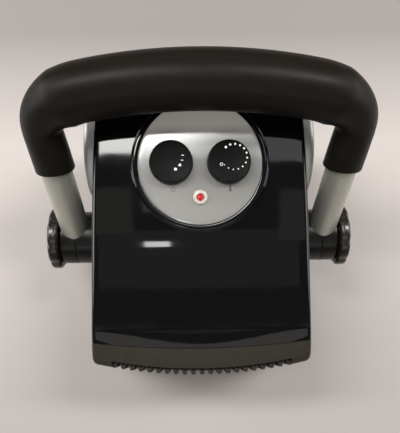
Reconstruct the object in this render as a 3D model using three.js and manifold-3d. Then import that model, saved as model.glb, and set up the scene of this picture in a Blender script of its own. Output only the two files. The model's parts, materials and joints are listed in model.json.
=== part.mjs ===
// Ceramic space heater with a swinging carry handle.
// Millimetres, +Z up, front (warm air outlet) towards -Y, +X to the heater's left-hand side.
// The model is laid out around the handle's pivot line (y = 0) and the floor (z = 0); at the end it is
// centred on its own bounding box, standing on z = 0.
import * as THREE from 'three';
import { mergeVertices } from 'three/addons/utils/BufferGeometryUtils.js';
import Module from 'manifold-3d';

const wasm = await Module();
wasm.setup();

// ---------- driving dimensions ----------
const GAP = 0.3;            // seating clearance between pieces that touch
const RUN = 0.5;            // running clearance between pieces that move past each other
const WALL = 2.6;           // moulded wall of the casing
const SPIN_CLEAR = 1;       // axial clearance beside the clamp knobs

// casing, seen from the side
const FRONT_Y = -113;       // front face at the two sides
const FRONT_BOW = 10;       // how far the middle of the front stands further out
const REAR_Y = 124;         // rear face
const BASE_Z = 8;           // underside of the casing
const LIP_Z = 147.5;        // front edge of the top
const ROLL_Y = -94;         // where the sloping top rolls over towards that edge
const ROLL_Z = 157.3;
const ROLL_R = 60;          // rounding of the roll
const BOW_BACK_Y = -86;     // where the front's bow runs out in the top and the sides
const KNEE_Y = -16;         // where the top changes slope, in front of the controls
const KNEE_R = 260;         // rounding of that change
const CROWN_Y = 94;         // rear end of the sloping top
const SHOULDER_Z = 152;     // lower end of the rear slope
const HALF_WIDTH = 88.4;    // half width at the front
const TAPER = 5;            // how much each side draws in by the rear
const EDGE_R = 4;           // rounding along the side edges
const FRONT_R = 9;          // rounding of the front's upper and lower edges
const CROWN_R = 16;         // rounding above the rear slope
const SHOULDER_R = 40;      // rounding below the rear slope
const HEEL_R = 17;          // rounding of the rear lower edge

// casing joints
const SEAM_Y = -97;         // seam between shell and bezel at the two sides
const SEAM_BOW = 5.3;       // how far the middle of the seam stands further out
const SPLIT_Z = 52;         // seam between shell and base

// control panel
const PANEL_TILT = 11;      // degrees, facing the front
const PANEL_Y = 40;
const PANEL_Z = 193;
const PANEL_R = 49;
const PANEL_T = 2.5;
const PANEL_EDGE = 0.4;
const BOSS_R = 54.2;        // black ring around the panel
const BOSS_RISE = 3.5;      // how far that ring stands above the casing
const BOSS_EDGE = 2;        // rounding of the ring
const DIAL_R = 17.3;
const DIAL_H = 9;
const DIAL_X = 22.6;        // dials left and right of the middle
const DIAL_UP = 0;        // and up the slope
const DIAL_DISH = 0.8;      // hollow of the dial's top
const DIAL_EDGE = 0.8;
const DIAL_DRAFT = 0.9;     // how much the dial narrows to its top
const DIAL_RIM = 2.4;       // width of the raised rim around the top
const DIAL_BORE_DEPTH = 6;
const SHAFT_R = 3;
const LAMP_DOWN = 27.4;     // indicator, down the slope
const LAMP_RING_R = 5.9;
const LAMP_LENS_R = 2.7;
const LAMP_RING_H = 2.4;
const LAMP_CROWN = 0.8;     // how far the lens stands above its ring
const LENS_ROOM = 1;        // free space around the lens in the casing
const NEON_R = 3;
const NEON_L = 16;
const NEON_TIP = 2;
const SWITCH_SIZE = 30;     // square switch bodies below the panel
const SWITCH_DEPTH = 20;
const SHAFT_DEPTH = 8;      // how far a shaft reaches into its switch
const BUSH_R = 5;
const BUSH_LAP = 1;         // root of the bush inside the switch's body

// handle
const PIVOT_Z = 95;
const LEAN = 31;            // degrees back from upright
const HANDLE_AHEAD = 4.3;   // how far the arms' centrelines pass in front of the pivot line
const ARM_SPREAD = 8.5;     // how much further out an arm is where its bend starts than at the pivot
const TUBE_R = 12.7;
const TUBE_START = 11;      // lower end of the tube, from the pivot
const BAR_REACH = 172;      // pivot to the middle of the crossbar
const BAR_SAG = 9;          // how much lower the crossbar is where its bends start
const BEND = 37;            // size of the bends
const GRIP_START = 94;      // lower end of the grip, from the pivot
const GRIP_END_R = 16;
const GRIP_BEND_R = 15.2;
const GRIP_BAR_R = 22.4;
const GRIP_LINE_R = 10;     // the tube is drawn in under the grip to this radius
const GRIP_SWELL = 6;       // how soon the grip reaches its full thickness along a bend

// pivots
const HUB_R = 24;
const HUB_EDGE = 1.6;
const HUB_INNER_T = 21.5;   // from the washer to the hub's seam, on the arm's centreline
const HUB_OUTER_T = 14.2;   // from that seam to the clamp knob
const PIVOT_PROUD = 2.2;    // how far the casing's round pivot boss stands out
const PIVOT_BOSS_R = 25;
const STUB_R = 8.6;         // fixed pivot stub that the hub turns on
const STUB_FLANGE_R = 15;
const STUB_FLANGE_T = 4;
const STUD_R = 4;
const WASHER_T = 1.2;
const KNOB_R = 29.2;
const KNOB_T = 9.5;
const KNOB_EDGE = 1.5;
const KNOB_BORE = 7;        // depth of the hole for the stud
const KNOB_LOBES = 8;
const KNOB_LOBE_DEPTH = 1.6;
const CAP_R = 14;
const CAP_T = 1.7;
const CAP_EDGE = 2;

// silver side covers
const COVER_R = 46;
const COVER_Y = 73.5;
const COVER_Z = 136;
const COVER_PROUD = 8.2;    // how far a cover stands out beyond the casing's widest place
const COVER_EDGE_R = 5;
const COVER_CROWN = 1.4;

// outlet grille
const GRILLE_HALF = 72.5;   // half width of the outlet
const GRILLE_LOW = 26;
const NOTCH = 5;            // how far the outlet cuts back into the casing's top edge
const SLAT_COUNT = 21;
const SLAT_T = 3;
const SLAT_DEPTH = 9;
const SLAT_TIP = 3;         // rounding of a slat's upper end
const SLAT_HOOK = 7;        // height of that end in front of the casing's top
const SLAT_STEP = 12;       // where a slat has its full depth below the top
const RAIL = 3.6;
const RAIL_HEIGHTS = [40, 110];
const RAIL_STEPS = 6;

// rear intake grille
const INTAKE_HALF = 60;
const INTAKE_LOW = 58;
const INTAKE_HIGH = 128;
const INTAKE_SLOTS = 8;
const INTAKE_COLUMNS = 3;
const INTAKE_SLOT = 3.6;
const INTAKE_RIM = 6;
const INTAKE_T = 3;
const INTAKE_PROUD = 0.4;

// warm air path
const AIR_Z = 92;
const HEATER_BACK_Y = -70;
const HEATER_T = 20;
const HEATER_SIDE = 5;      // free space between the heater's frame and the screw posts
const HEATER_H = 104;
const HEATER_RIM = 6;
const LEG_W = 12;           // feet of the heater's frame
const CERAMIC_T = 6;
const CERAMIC_BARS = 3;
const FIN_FOLDS = 12;
const FIN_SHEET = 1.1;
const FIN_INSET = 3;        // fins behind the frame's faces
const BAR_INSET = 2;        // ceramic bars behind the frame's faces
const TERMINAL_W = 6.4;
const TERMINAL_T = 1;
const TERMINAL_FOOT = 12;
const TERMINAL_FOOT_D = 8;
const TERMINAL_FOOT_T = 1.2;
const TERMINAL_CLEAR = 1;   // from the terminals up to the casing
const CUTOFF_R = 8;
const CUTOFF_H = 8;
const CUTOFF_W = 28;
const CUTOFF_D = 10;
const CUTOFF_T = 1;
const FAN_Y = 36;
const FAN_R = 54;
const FAN_HUB_R = 17;
const FAN_HUB_L = 20;
const FAN_NOSE = 4;         // bevel of the hub's front
const FAN_FACE = 2;         // wall of the hub's front
const BLADE_ROOT = 2;       // how deep a blade is rooted in the hub
const FAN_BLADES = 7;
const BLADE_CHORD = 30;
const BLADE_T = 2;
const BLADE_PITCH = 32;     // degrees
const DUCT_R = 58;
const DUCT_WALL = 2.4;
const DUCT_L = 36;
const DUCT_PLATE_T = 3;
const DUCT_HALF = 68;
const BRACKET_T = 2.4;
const BRACKET_W = 16;
const BRACKET_LAP = 5;      // how far the bracket's arms lie on the duct's plate
const MOTOR_R = 24;
const MOTOR_L = 42;
const MOTOR_EDGE = 2;
const MOTOR_SHOULDER = 6;
const MOTOR_NOSE_R = 9;
const MOTOR_NOSE_L = 4;
const MOTOR_SHAFT_R = 2.5;

// base
const FOOT_R = 9.5;
const FOOT_STEM_R = 3.6;
const FOOT_EDGE = 1.5;
const FOOT_IN_X = 22.4;     // feet, in from the casing's sides, front and rear
const FOOT_IN_FRONT = 37;
const FOOT_IN_REAR = 30;
const BUSHING_R = 7;
const BUSHING_FLANGE_R = 10;
const BUSHING_BORE_R = 3.8;
const BUSHING_FLANGE_T = 2.6;
const BUSHING_EDGE = 1.4;
const BUSHING_Z = 39;
const POST_IN_X = 12.4;     // screw posts, in from the casing's sides, front and rear
const POST_IN_FRONT = 29;
const POST_IN_REAR = 24;
const POST_R = 5;
const SCREW_R = 1.7;
const SCREW_HEAD_R = 3.6;
const SCREW_HEAD_T = 2.2;
const SCREW_SHORT = 4;      // how far a screw ends below the casing's seam
const BLOCK_W = 40;         // terminal block
const BLOCK_D = 14;
const BLOCK_H = 12;
const BLOCK_TO_REAR = 38;

// ---------- finishes ----------
const finish = (color, roughness, metalness = 0) =>
  new THREE.MeshStandardMaterial({ color, roughness, metalness });
const FINISH = {
  glossBlack: finish(0x0b0b0c, 0.08),
  mattBlack: finish(0x23221f, 0.6),
  charcoal: finish(0x3c3a34, 0.55),
  gripRubber: finish(0x33312c, 0.7),
  silver: finish(0xa9a79e, 0.35, 0.8),
  silverPlastic: finish(0xb9b7b0, 0.4, 0.4),
  panel: finish(0xd2cec6, 0.35, 0.5),
  steel: finish(0x9a9a98, 0.3, 1),
  aluminium: finish(0xc4c4c2, 0.4, 1),
  brass: finish(0xb08d4a, 0.3, 1),
  ceramic: finish(0xe4ddd0, 0.8),
  rubber: finish(0x1a1a1a, 0.9),
  milky: finish(0xe9e4dc, 0.3),
  red: finish(0xb01820, 0.2),
  glass: finish(0xe8c8a8, 0.1),
  cream: finish(0xcfc6b4, 0.6),
};

// ---------- shape helpers ----------
const X_AXIS = new THREE.Vector3(1, 0, 0);
const Y_AXIS = new THREE.Vector3(0, 1, 0);
const Z_AXIS = new THREE.Vector3(0, 0, 1);
const basis = (a, b, c) => new THREE.Matrix4().makeBasis(a, b, c);
const SIDE_VIEW = basis(Y_AXIS, Z_AXIS, X_AXIS);                        // drawn in (y, z), grows along +x
const FRONT_VIEW = basis(X_AXIS, Z_AXIS, Y_AXIS.clone().negate());      // drawn in (x, z), grows along -y
const TURN = { x: basis(Z_AXIS, X_AXIS, Y_AXIS), y: new THREE.Matrix4(), z: basis(Y_AXIS, Z_AXIS, X_AXIS) };
const rad = THREE.MathUtils.degToRad;

const moved = (geometry, x, y, z) => geometry.clone().translate(x, y, z);

function signedVolume(geometry) {
  const p = geometry.attributes.position;
  const ids = geometry.index.array;
  const [a, b, c] = [new THREE.Vector3(), new THREE.Vector3(), new THREE.Vector3()];
  let sum = 0;
  for (let i = 0; i < ids.length; i += 3) {
    a.fromBufferAttribute(p, ids[i]);
    b.fromBufferAttribute(p, ids[i + 1]);
    c.fromBufferAttribute(p, ids[i + 2]);
    sum += a.dot(b.cross(c)) / 6;
  }
  return sum;
}

// Positions only, shared vertices merged, empty triangles dropped, faces pointing out.
function clean(geometry) {
  const bare = new THREE.BufferGeometry();
  bare.setAttribute('position', geometry.attributes.position.clone());
  if (geometry.index) bare.setIndex(Array.from(geometry.index.array));
  const merged = mergeVertices(bare, 1e-4);
  const ids = merged.index.array;
  const kept = [];
  for (let i = 0; i < ids.length; i += 3) {
    const [a, b, c] = [ids[i], ids[i + 1], ids[i + 2]];
    if (a !== b && b !== c && c !== a) kept.push(a, b, c);
  }
  merged.setIndex(kept);
  if (signedVolume(merged) < 0) {
    for (let i = 0; i < kept.length; i += 3) [kept[i + 1], kept[i + 2]] = [kept[i + 2], kept[i + 1]];
    merged.setIndex(kept);
  }
  return merged;
}

const solid = (geometry) => {
  const g = clean(geometry);
  return new wasm.Manifold(new wasm.Mesh({
    numProp: 3,
    vertProperties: new Float32Array(g.attributes.position.array),
    triVerts: new Uint32Array(g.index.array),
  }));
};

function fromSolid(body) {
  const mesh = body.getMesh();
  const geometry = new THREE.BufferGeometry();
  geometry.setAttribute('position', new THREE.BufferAttribute(mesh.vertProperties, 3));
  geometry.setIndex(new THREE.BufferAttribute(mesh.triVerts, 1));
  return geometry;
}

const join = (...parts) => fromSolid(parts.map(solid).reduce((a, b) => a.add(b)));
const cut = (base, ...tools) => fromSolid(tools.map(solid).reduce((a, b) => a.subtract(b), solid(base)));
const common = (a, b) => fromSolid(solid(a).intersect(solid(b)));

// Turned piece: points are [radius, position along the axis]; a ring's profile closes on itself.
function turned(points, axis, segments = 32) {
  const profile = points.map(([r, h]) => new THREE.Vector2(r, h));
  return clean(new THREE.LatheGeometry(profile, segments).applyMatrix4(TURN[axis]));
}

function disc(radius, from, to, axis, segments = 32) {
  return turned([[0, from], [radius, from], [radius, to], [0, to]], axis, segments);
}

function ring(inner, outer, from, to, axis, segments = 32) {
  return turned([[inner, from], [outer, from], [outer, to], [inner, to], [inner, from]], axis, segments);
}

function block(x0, x1, y0, y1, z0, z1) {
  return clean(new THREE.BoxGeometry(x1 - x0, y1 - y0, z1 - z0)
    .translate((x0 + x1) / 2, (y0 + y1) / 2, (z0 + z1) / 2));
}

function polygon(points) {
  return new THREE.Shape(points.map(([u, v]) => new THREE.Vector2(u, v)));
}

const prism = (shape, depth, view, options = {}) =>
  clean(new THREE.ExtrudeGeometry(shape, { depth, bevelEnabled: false, curveSegments: 8, ...options })
    .applyMatrix4(view));

// Closed outline through corners [u, v, radius], each rounded with an arc of that radius.
function roundedOutline(corners) {
  const shape = new THREE.Shape();
  const count = corners.length;
  corners.forEach(([u, v, r], i) => {
    const corner = new THREE.Vector2(u, v);
    const before = new THREE.Vector2(...corners[(i + count - 1) % count].slice(0, 2)).sub(corner).normalize();
    const after = new THREE.Vector2(...corners[(i + 1) % count].slice(0, 2)).sub(corner).normalize();
    const half = before.angleTo(after) / 2;
    const start = corner.clone().addScaledVector(before, r / Math.tan(half));
    const middle = before.clone().add(after).normalize();
    const centre = corner.clone().addScaledVector(middle, r / Math.sin(half));
    const end = corner.clone().addScaledVector(after, r / Math.tan(half));
    if (i === 0) shape.moveTo(start.x, start.y);
    else shape.lineTo(start.x, start.y);
    const from = Math.atan2(start.y - centre.y, start.x - centre.x);
    const to = Math.atan2(end.y - centre.y, end.x - centre.x);
    shape.absarc(centre.x, centre.y, r, from, to, before.cross(after) > 0);
  });
  shape.closePath();
  return shape;
}

// Corners of a convex outline, in order, moved inwards by a distance.
function insetCorners(corners, distance) {
  const count = corners.length;
  const edges = corners.map(([u, v], i) => {
    const [nu, nv] = corners[(i + 1) % count];
    const along = new THREE.Vector2(nu - u, nv - v).normalize();
    const inward = new THREE.Vector2(along.y, -along.x);
    return { point: new THREE.Vector2(u, v).addScaledVector(inward, distance), along };
  });
  return corners.map(([, , r], i) => {
    const a = edges[(i + count - 1) % count];
    const b = edges[i];
    const t = b.point.clone().sub(a.point).cross(b.along) / a.along.cross(b.along);
    const hit = a.point.clone().addScaledVector(a.along, t);
    return [hit.x, hit.y, Math.max(r - distance, 1)];
  });
}

// ---------- casing ----------
const PANEL_SLOPE = Math.tan(rad(PANEL_TILT));
const onTop = (y) => PANEL_Z - BOSS_RISE / Math.cos(rad(PANEL_TILT)) + (y - PANEL_Y) * PANEL_SLOPE;
const CASING_CORNERS = [
  [FRONT_Y, BASE_Z, FRONT_R],
  [FRONT_Y, LIP_Z, FRONT_R],
  [ROLL_Y, ROLL_Z, ROLL_R],
  [KNEE_Y, onTop(KNEE_Y), KNEE_R],
  [CROWN_Y, onTop(CROWN_Y), CROWN_R],
  [REAR_Y, SHOULDER_Z, SHOULDER_R],
  [REAR_Y, BASE_Z, HEEL_R],
];
const halfWidthAt = (y) => HALF_WIDTH - TAPER * (y - FRONT_Y) / (REAR_Y - FRONT_Y);
const bowAt = (x, bow) => bow * (1 - (x / HALF_WIDTH) ** 2);
const frontAt = (x) => FRONT_Y - bowAt(x, FRONT_BOW);
const bowShare = (y) => THREE.MathUtils.clamp((BOW_BACK_Y - y) / (BOW_BACK_Y - FRONT_Y - FRONT_R), 0, 1);

// Underside of the casing's top in front of the knee.
function roofAt(y) {
  const slope = (onTop(KNEE_Y) - ROLL_Z) / (KNEE_Y - ROLL_Y);
  return ROLL_Z + (y - ROLL_Y) * slope - WALL * Math.hypot(1, slope);
}

// Places along x of what sits on the casing's sides, outwards in turn.
const BOSS_FACE_X = halfWidthAt(0) + PIVOT_PROUD;
const WASHER_X = BOSS_FACE_X + GAP;
const HUB_IN_X = WASHER_X + WASHER_T + GAP;
const ARM_X = HUB_IN_X + HUB_INNER_T;           // an arm's centreline at the pivot, and the hub's seam
const ARM_TOP_X = ARM_X + ARM_SPREAD;           // the same line where its bend starts
const HUB_OUT_X = ARM_X + HUB_OUTER_T;
const KNOB_X = HUB_OUT_X + SPIN_CLEAR;
const KNOB_END = KNOB_X + KNOB_T;
const STUB_END = HUB_OUT_X - SPIN_CLEAR;
const COVER_OUT_X = HALF_WIDTH + COVER_PROUD;

// The whole casing as one solid, drawn in from its outer surface by a distance.
function casing(inset) {
  const outline = roundedOutline(insetCorners(CASING_CORNERS, inset + EDGE_R));
  const depth = 2 * (HALF_WIDTH - inset - EDGE_R);
  const g = new THREE.ExtrudeGeometry(outline, {
    depth, steps: 4, curveSegments: 3,
    bevelEnabled: true, bevelThickness: EDGE_R, bevelSize: EDGE_R, bevelSegments: 1,
  });
  g.translate(0, 0, -depth / 2).applyMatrix4(SIDE_VIEW);
  const p = g.attributes.position;
  for (let i = 0; i < p.count; i++) {
    const [x, y] = [p.getX(i), p.getY(i)];
    p.setX(i, x * (halfWidthAt(y) - inset) / (HALF_WIDTH - inset));
    p.setY(i, y - bowAt(x, FRONT_BOW) * bowShare(y));
  }
  return clean(g);
}
const OUTER = casing(0);
const INNER = casing(WALL);
const REACH = 400;          // longer than the heater, for cutters

// Everything in front of a line across the heater that bows forwards, offset along y.
function inFrontOf(lineY, bow, halfSpan, low, high) {
  const steps = 8;
  const points = [[-halfSpan, -REACH], [halfSpan, -REACH]];
  for (let i = 0; i <= steps; i++) {
    const x = halfSpan - (2 * halfSpan * i) / steps;
    points.push([x, lineY - bowAt(x, bow)]);
  }
  return moved(prism(polygon(points), high - low, new THREE.Matrix4()), 0, 0, low);
}

// Placement on the sloping control panel: x across, y up the slope, z out of it.
const PANEL_FRAME = new THREE.Matrix4().makeRotationX(rad(PANEL_TILT)).setPosition(0, PANEL_Y, PANEL_Z);
const onPanel = (geometry, x = 0, up = 0) =>
  clean(geometry.clone().translate(x, up, 0).applyMatrix4(PANEL_FRAME));
const PANEL_SEAT = -PANEL_T - GAP;                                    // floor of the panel's recess
const SHELL_UNDER = -BOSS_RISE - WALL;                                // underside of the casing below it
const CONTROLS = [
  { name: 'mode', x: -DIAL_X, up: DIAL_UP },
  { name: 'thermostat', x: DIAL_X, up: DIAL_UP },
];

function pivotBoss(side) {
  const inside = halfWidthAt(PIVOT_BOSS_R) - WALL;
  return disc(PIVOT_BOSS_R, side * inside, side * BOSS_FACE_X, 'x');
}

function postAt(x, y, from, to, radius = POST_R) {
  return moved(disc(radius, from, to, 'z', 16), x, y, 0);
}

// Four places in from the casing's sides, front and rear.
function fourPlaces(inSide, inFront, inRear) {
  const [x, front, rear] = [HALF_WIDTH - inSide, FRONT_Y + inFront, REAR_Y - inRear];
  return [[-x, front], [x, front], [-x, rear], [x, rear]];
}
const POSTS = fourPlaces(POST_IN_X, POST_IN_FRONT, POST_IN_REAR);
const FEET = fourPlaces(FOOT_IN_X, FOOT_IN_FRONT, FOOT_IN_REAR);

function topShell() {
  const boss = onPanel(turned([
    [0, SHELL_UNDER], [BOSS_R, SHELL_UNDER], [BOSS_R, -BOSS_EDGE],
    [BOSS_R - BOSS_EDGE * 0.3, -BOSS_EDGE * 0.3], [BOSS_R - BOSS_EDGE, 0], [0, 0],
  ], 'z', 32));
  const recess = onPanel(disc(PANEL_R + GAP, PANEL_SEAT, BOSS_RISE * 2, 'z', 32));
  const bores = CONTROLS.map((c) => onPanel(disc(BUSH_R + GAP, -BOSS_R, BOSS_RISE, 'z', 20), c.x, c.up));
  const lampBore = onPanel(disc(LAMP_LENS_R + LENS_ROOM + GAP, -BOSS_R, BOSS_RISE, 'z', 16), 0, -LAMP_DOWN);
  const below = block(-REACH, REACH, -REACH, REACH, -REACH, SPLIT_Z + GAP / 2);
  const front = inFrontOf(SEAM_Y + GAP / 2, SEAM_BOW, HALF_WIDTH * 1.2, -REACH, REACH);
  const intake = block(-INTAKE_HALF - GAP, INTAKE_HALF + GAP, REAR_Y - WALL * 2, REAR_Y + WALL,
    INTAKE_LOW - GAP, INTAKE_HIGH + GAP);
  const pivotHoles = disc(STUB_R + GAP, -HALF_WIDTH * 1.2, HALF_WIDTH * 1.2, 'x', 24);
  const skin = cut(join(OUTER, boss), INNER);
  const withBosses = join(skin, moved(pivotBoss(1), 0, 0, PIVOT_Z), moved(pivotBoss(-1), 0, 0, PIVOT_Z));
  return cut(withBosses, recess, ...bores, lampBore, below, front, intake, moved(pivotHoles, 0, 0, PIVOT_Z));
}

function baseTub() {
  const above = block(-REACH, REACH, -REACH, REACH, SPLIT_Z - GAP / 2, REACH);
  const front = inFrontOf(SEAM_Y + GAP / 2, SEAM_BOW, HALF_WIDTH * 1.2, -REACH, REACH);
  const footHoles = FEET.map(([x, y]) => postAt(x, y, 0, BASE_Z + WALL * 2, FOOT_STEM_R + GAP));
  const posts = POSTS.map(([x, y]) => postAt(x, y, BASE_Z + WALL / 2, SPLIT_Z - GAP / 2));
  const screwHoles = POSTS.map(([x, y]) => postAt(x, y, 0, REACH, SCREW_R + GAP));
  const headTop = BASE_Z + SCREW_HEAD_T + 2 * GAP;
  const headHoles = POSTS.map(([x, y]) => postAt(x, y, 0, headTop, SCREW_HEAD_R + GAP));
  const cordHole = moved(disc(BUSHING_R + GAP, REAR_Y - WALL * 2, REAR_Y + WALL, 'y', 20), 0, 0, BUSHING_Z);
  const tub = cut(OUTER, INNER, above, front);
  return cut(join(tub, ...posts), ...footHoles, ...screwHoles, ...headHoles, cordHole);
}

function frontBezel() {
  const front = inFrontOf(SEAM_Y - GAP / 2, SEAM_BOW, HALF_WIDTH * 1.2, 0, REACH);
  const outlet = inFrontOf(FRONT_Y + NOTCH, FRONT_BOW, GRILLE_HALF, GRILLE_LOW, REACH);
  return cut(common(cut(OUTER, INNER), front), outlet);
}

// ---------- grilles ----------
function outletGrille() {
  const high = LIP_Z - FRONT_R * 0.35;
  const pitch = (2 * (GRILLE_HALF - GAP) - SLAT_T) / (SLAT_COUNT - 1);
  const slat = polygon([
    [0, GRILLE_LOW + GAP], [0, high - SLAT_TIP], [SLAT_TIP * 0.3, high - SLAT_TIP * 0.3], [SLAT_TIP, high],
    [NOTCH - GAP, high], [NOTCH - GAP, high - SLAT_HOOK], [SLAT_DEPTH, high - SLAT_STEP],
    [SLAT_DEPTH, GRILLE_LOW + GAP],
  ]);
  const slats = [];
  for (let i = 0; i < SLAT_COUNT; i++) {
    const x = -GRILLE_HALF + GAP + i * pitch;
    slats.push(moved(prism(slat, SLAT_T, SIDE_VIEW), x, frontAt(x + SLAT_T / 2), 0));
  }
  const rails = RAIL_HEIGHTS.map((z) => {
    const span = GRILLE_HALF - GAP - SLAT_T / 2;
    const line = Array.from({ length: RAIL_STEPS + 1 }, (_, i) => -span + (2 * span * i) / RAIL_STEPS);
    const near = line.map((x) => [x, frontAt(x) + RAIL * 0.5]);
    const far = line.map((x) => [x, frontAt(x) + RAIL * 1.5]).reverse();
    return moved(prism(polygon([...near, ...far]), RAIL, new THREE.Matrix4()), 0, 0, z - RAIL / 2);
  });
  return join(...slats, ...rails);
}

function intakeGrille() {
  const outer = REAR_Y + INTAKE_PROUD;
  const plate = block(-INTAKE_HALF, INTAKE_HALF, outer - INTAKE_T, outer, INTAKE_LOW, INTAKE_HIGH);
  const pitch = (INTAKE_HIGH - INTAKE_LOW - 2 * INTAKE_RIM) / INTAKE_SLOTS;
  const width = (2 * INTAKE_HALF - (INTAKE_COLUMNS + 1) * INTAKE_RIM) / INTAKE_COLUMNS;
  const slots = [];
  for (let row = 0; row < INTAKE_SLOTS; row++) {
    const z = INTAKE_LOW + INTAKE_RIM + (row + 0.5) * pitch - INTAKE_SLOT / 2;
    for (let column = 0; column < INTAKE_COLUMNS; column++) {
      const x = -INTAKE_HALF + INTAKE_RIM + column * (width + INTAKE_RIM);
      slots.push(block(x, x + width, REAR_Y - REACH, REAR_Y + REACH, z, z + INTAKE_SLOT));
    }
  }
  return cut(plate, ...slots);
}

// ---------- controls ----------
function controlPanel() {
  const plate = turned([
    [0, -PANEL_T], [PANEL_R, -PANEL_T], [PANEL_R, -PANEL_EDGE], [PANEL_R - PANEL_EDGE, 0], [0, 0],
  ], 'z', 32);
  const holes = CONTROLS.map((c) => moved(disc(BUSH_R + GAP, -PANEL_T * 2, PANEL_T, 'z', 20), c.x, c.up, 0));
  const lensHole = disc(LAMP_LENS_R + LENS_ROOM + GAP, -PANEL_T * 2, PANEL_T, 'z', 16);
  const lampHole = moved(lensHole, 0, -LAMP_DOWN, 0);
  return onPanel(cut(plate, ...holes, lampHole));
}

function dial(control) {
  const [bore, top] = [SHAFT_R + GAP, DIAL_R - DIAL_DRAFT];
  const knob = turned([
    [bore, GAP], [DIAL_R - DIAL_EDGE, GAP], [DIAL_R, GAP + DIAL_EDGE], [top, DIAL_H - DIAL_EDGE],
    [top - DIAL_EDGE, DIAL_H], [top - DIAL_EDGE - DIAL_RIM, DIAL_H - DIAL_DISH], [0, DIAL_H - DIAL_DISH],
    [0, DIAL_BORE_DEPTH], [bore, DIAL_BORE_DEPTH], [bore, GAP],
  ], 'z', 24);
  return onPanel(knob, control.x, control.up);
}

function dialShaft(control) {
  const shaft = disc(SHAFT_R, SHELL_UNDER - SHAFT_DEPTH, DIAL_BORE_DEPTH - GAP, 'z', 16);
  return onPanel(shaft, control.x, control.up);
}

// A control's body with a round bush that passes up through the casing and the panel.
const SWITCH_TOP = SHELL_UNDER - GAP;
function withBush(body, control) {
  const bush = disc(BUSH_R, SWITCH_TOP - BUSH_LAP, -GAP, 'z', 20);
  const well = disc(SHAFT_R + GAP, SHELL_UNDER - SHAFT_DEPTH - GAP, REACH, 'z', 16);
  return onPanel(cut(join(body, bush), well), control.x, control.up);
}

function switchBody(control) {
  const half = SWITCH_SIZE / 2;
  return withBush(block(-half, half, -half, half, SWITCH_TOP - SWITCH_DEPTH, SWITCH_TOP), control);
}

function thermostatBody(control) {
  return withBush(disc(SWITCH_SIZE / 2, SWITCH_TOP - SWITCH_DEPTH, SWITCH_TOP, 'z', 24), control);
}

function lampRing() {
  const bore = LAMP_LENS_R + GAP;
  const dome = turned([
    [bore, GAP], [LAMP_RING_R, GAP], [LAMP_RING_R * 0.93, LAMP_RING_H * 0.58],
    [LAMP_RING_R * 0.73, LAMP_RING_H], [bore, LAMP_RING_H], [bore, GAP],
  ], 'z', 20);
  return onPanel(dome, 0, -LAMP_DOWN);
}

function lampLens() {
  const lens = turned([
    [0, SHELL_UNDER], [LAMP_LENS_R, SHELL_UNDER], [LAMP_LENS_R, LAMP_RING_H],
    [LAMP_LENS_R * 0.7, LAMP_RING_H + LAMP_CROWN * 0.6], [0, LAMP_RING_H + LAMP_CROWN],
  ], 'z', 20);
  return onPanel(lens, 0, -LAMP_DOWN);
}

function neonLamp() {
  const top = SHELL_UNDER - GAP;
  const lamp = turned([
    [0, top - NEON_L], [NEON_R, top - NEON_L], [NEON_R, top - NEON_TIP], [NEON_R * 0.66, top], [0, top],
  ], 'z', 16);
  return onPanel(lamp, 0, -LAMP_DOWN);
}

// ---------- handle ----------
const HANDLE_FRAME = new THREE.Matrix4().makeRotationX(-rad(LEAN)).setPosition(0, 0, PIVOT_Z)
  .multiply(new THREE.Matrix4().makeTranslation(0, -HANDLE_AHEAD, 0));
const BEND_START = BAR_REACH - BAR_SAG - BEND;
const ARM_ANGLE = Math.atan2(ARM_SPREAD, BEND_START);
const onHandle = (geometry) => clean(geometry.clone().applyMatrix4(HANDLE_FRAME));

// Centreline of the handle in its own plane: up one arm, across and down the other.
function handleLine(start) {
  const cornerX = ARM_TOP_X - BEND;
  const cornerZ = BAR_REACH - BAR_SAG;
  const slope = (2 * BAR_SAG) / cornerX;
  const pull = BEND * 0.55;
  const at = (x, z) => new THREE.Vector3(x, 0, z);
  const armX = (z) => ARM_X + z * Math.tan(ARM_ANGLE);
  const [bendX, bendZ] = [armX(BEND_START + pull), BEND_START + pull];
  const line = new THREE.CurvePath();
  line.add(new THREE.LineCurve3(at(-armX(start), start), at(-ARM_TOP_X, BEND_START)));
  line.add(new THREE.CubicBezierCurve3(at(-ARM_TOP_X, BEND_START), at(-bendX, bendZ),
    at(-cornerX - pull, cornerZ - pull * slope), at(-cornerX, cornerZ)));
  line.add(new THREE.QuadraticBezierCurve3(
    at(-cornerX, cornerZ), at(0, BAR_REACH + BAR_SAG), at(cornerX, cornerZ)));
  line.add(new THREE.CubicBezierCurve3(at(cornerX, cornerZ), at(cornerX + pull, cornerZ - pull * slope),
    at(bendX, bendZ), at(ARM_TOP_X, BEND_START)));
  line.add(new THREE.LineCurve3(at(ARM_TOP_X, BEND_START), at(armX(start), start)));
  return line;
}

// Round bar along the handle line whose radius follows a function of the height above the pivot and of x.
function roundBar(start, steps, sides, radiusAt) {
  const circle = new THREE.Shape();
  circle.absarc(0, 0, 1, 0, 2 * Math.PI);
  const curveSegments = sides / 2;
  const line = handleLine(start);
  const g = new THREE.ExtrudeGeometry(circle, { steps, extrudePath: line, curveSegments });
  const centres = line.getSpacedPoints(steps);
  const p = g.attributes.position;
  const v = new THREE.Vector3();
  for (let i = 0; i < p.count; i++) {
    v.fromBufferAttribute(p, i);
    const nearer = (best, c) => (c.distanceToSquared(v) < best.distanceToSquared(v) ? c : best);
    const centre = centres.reduce(nearer);
    v.sub(centre).multiplyScalar(radiusAt(centre)).add(centre);
    p.setXYZ(i, v.x, v.y, v.z);
  }
  return clean(g);
}

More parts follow.
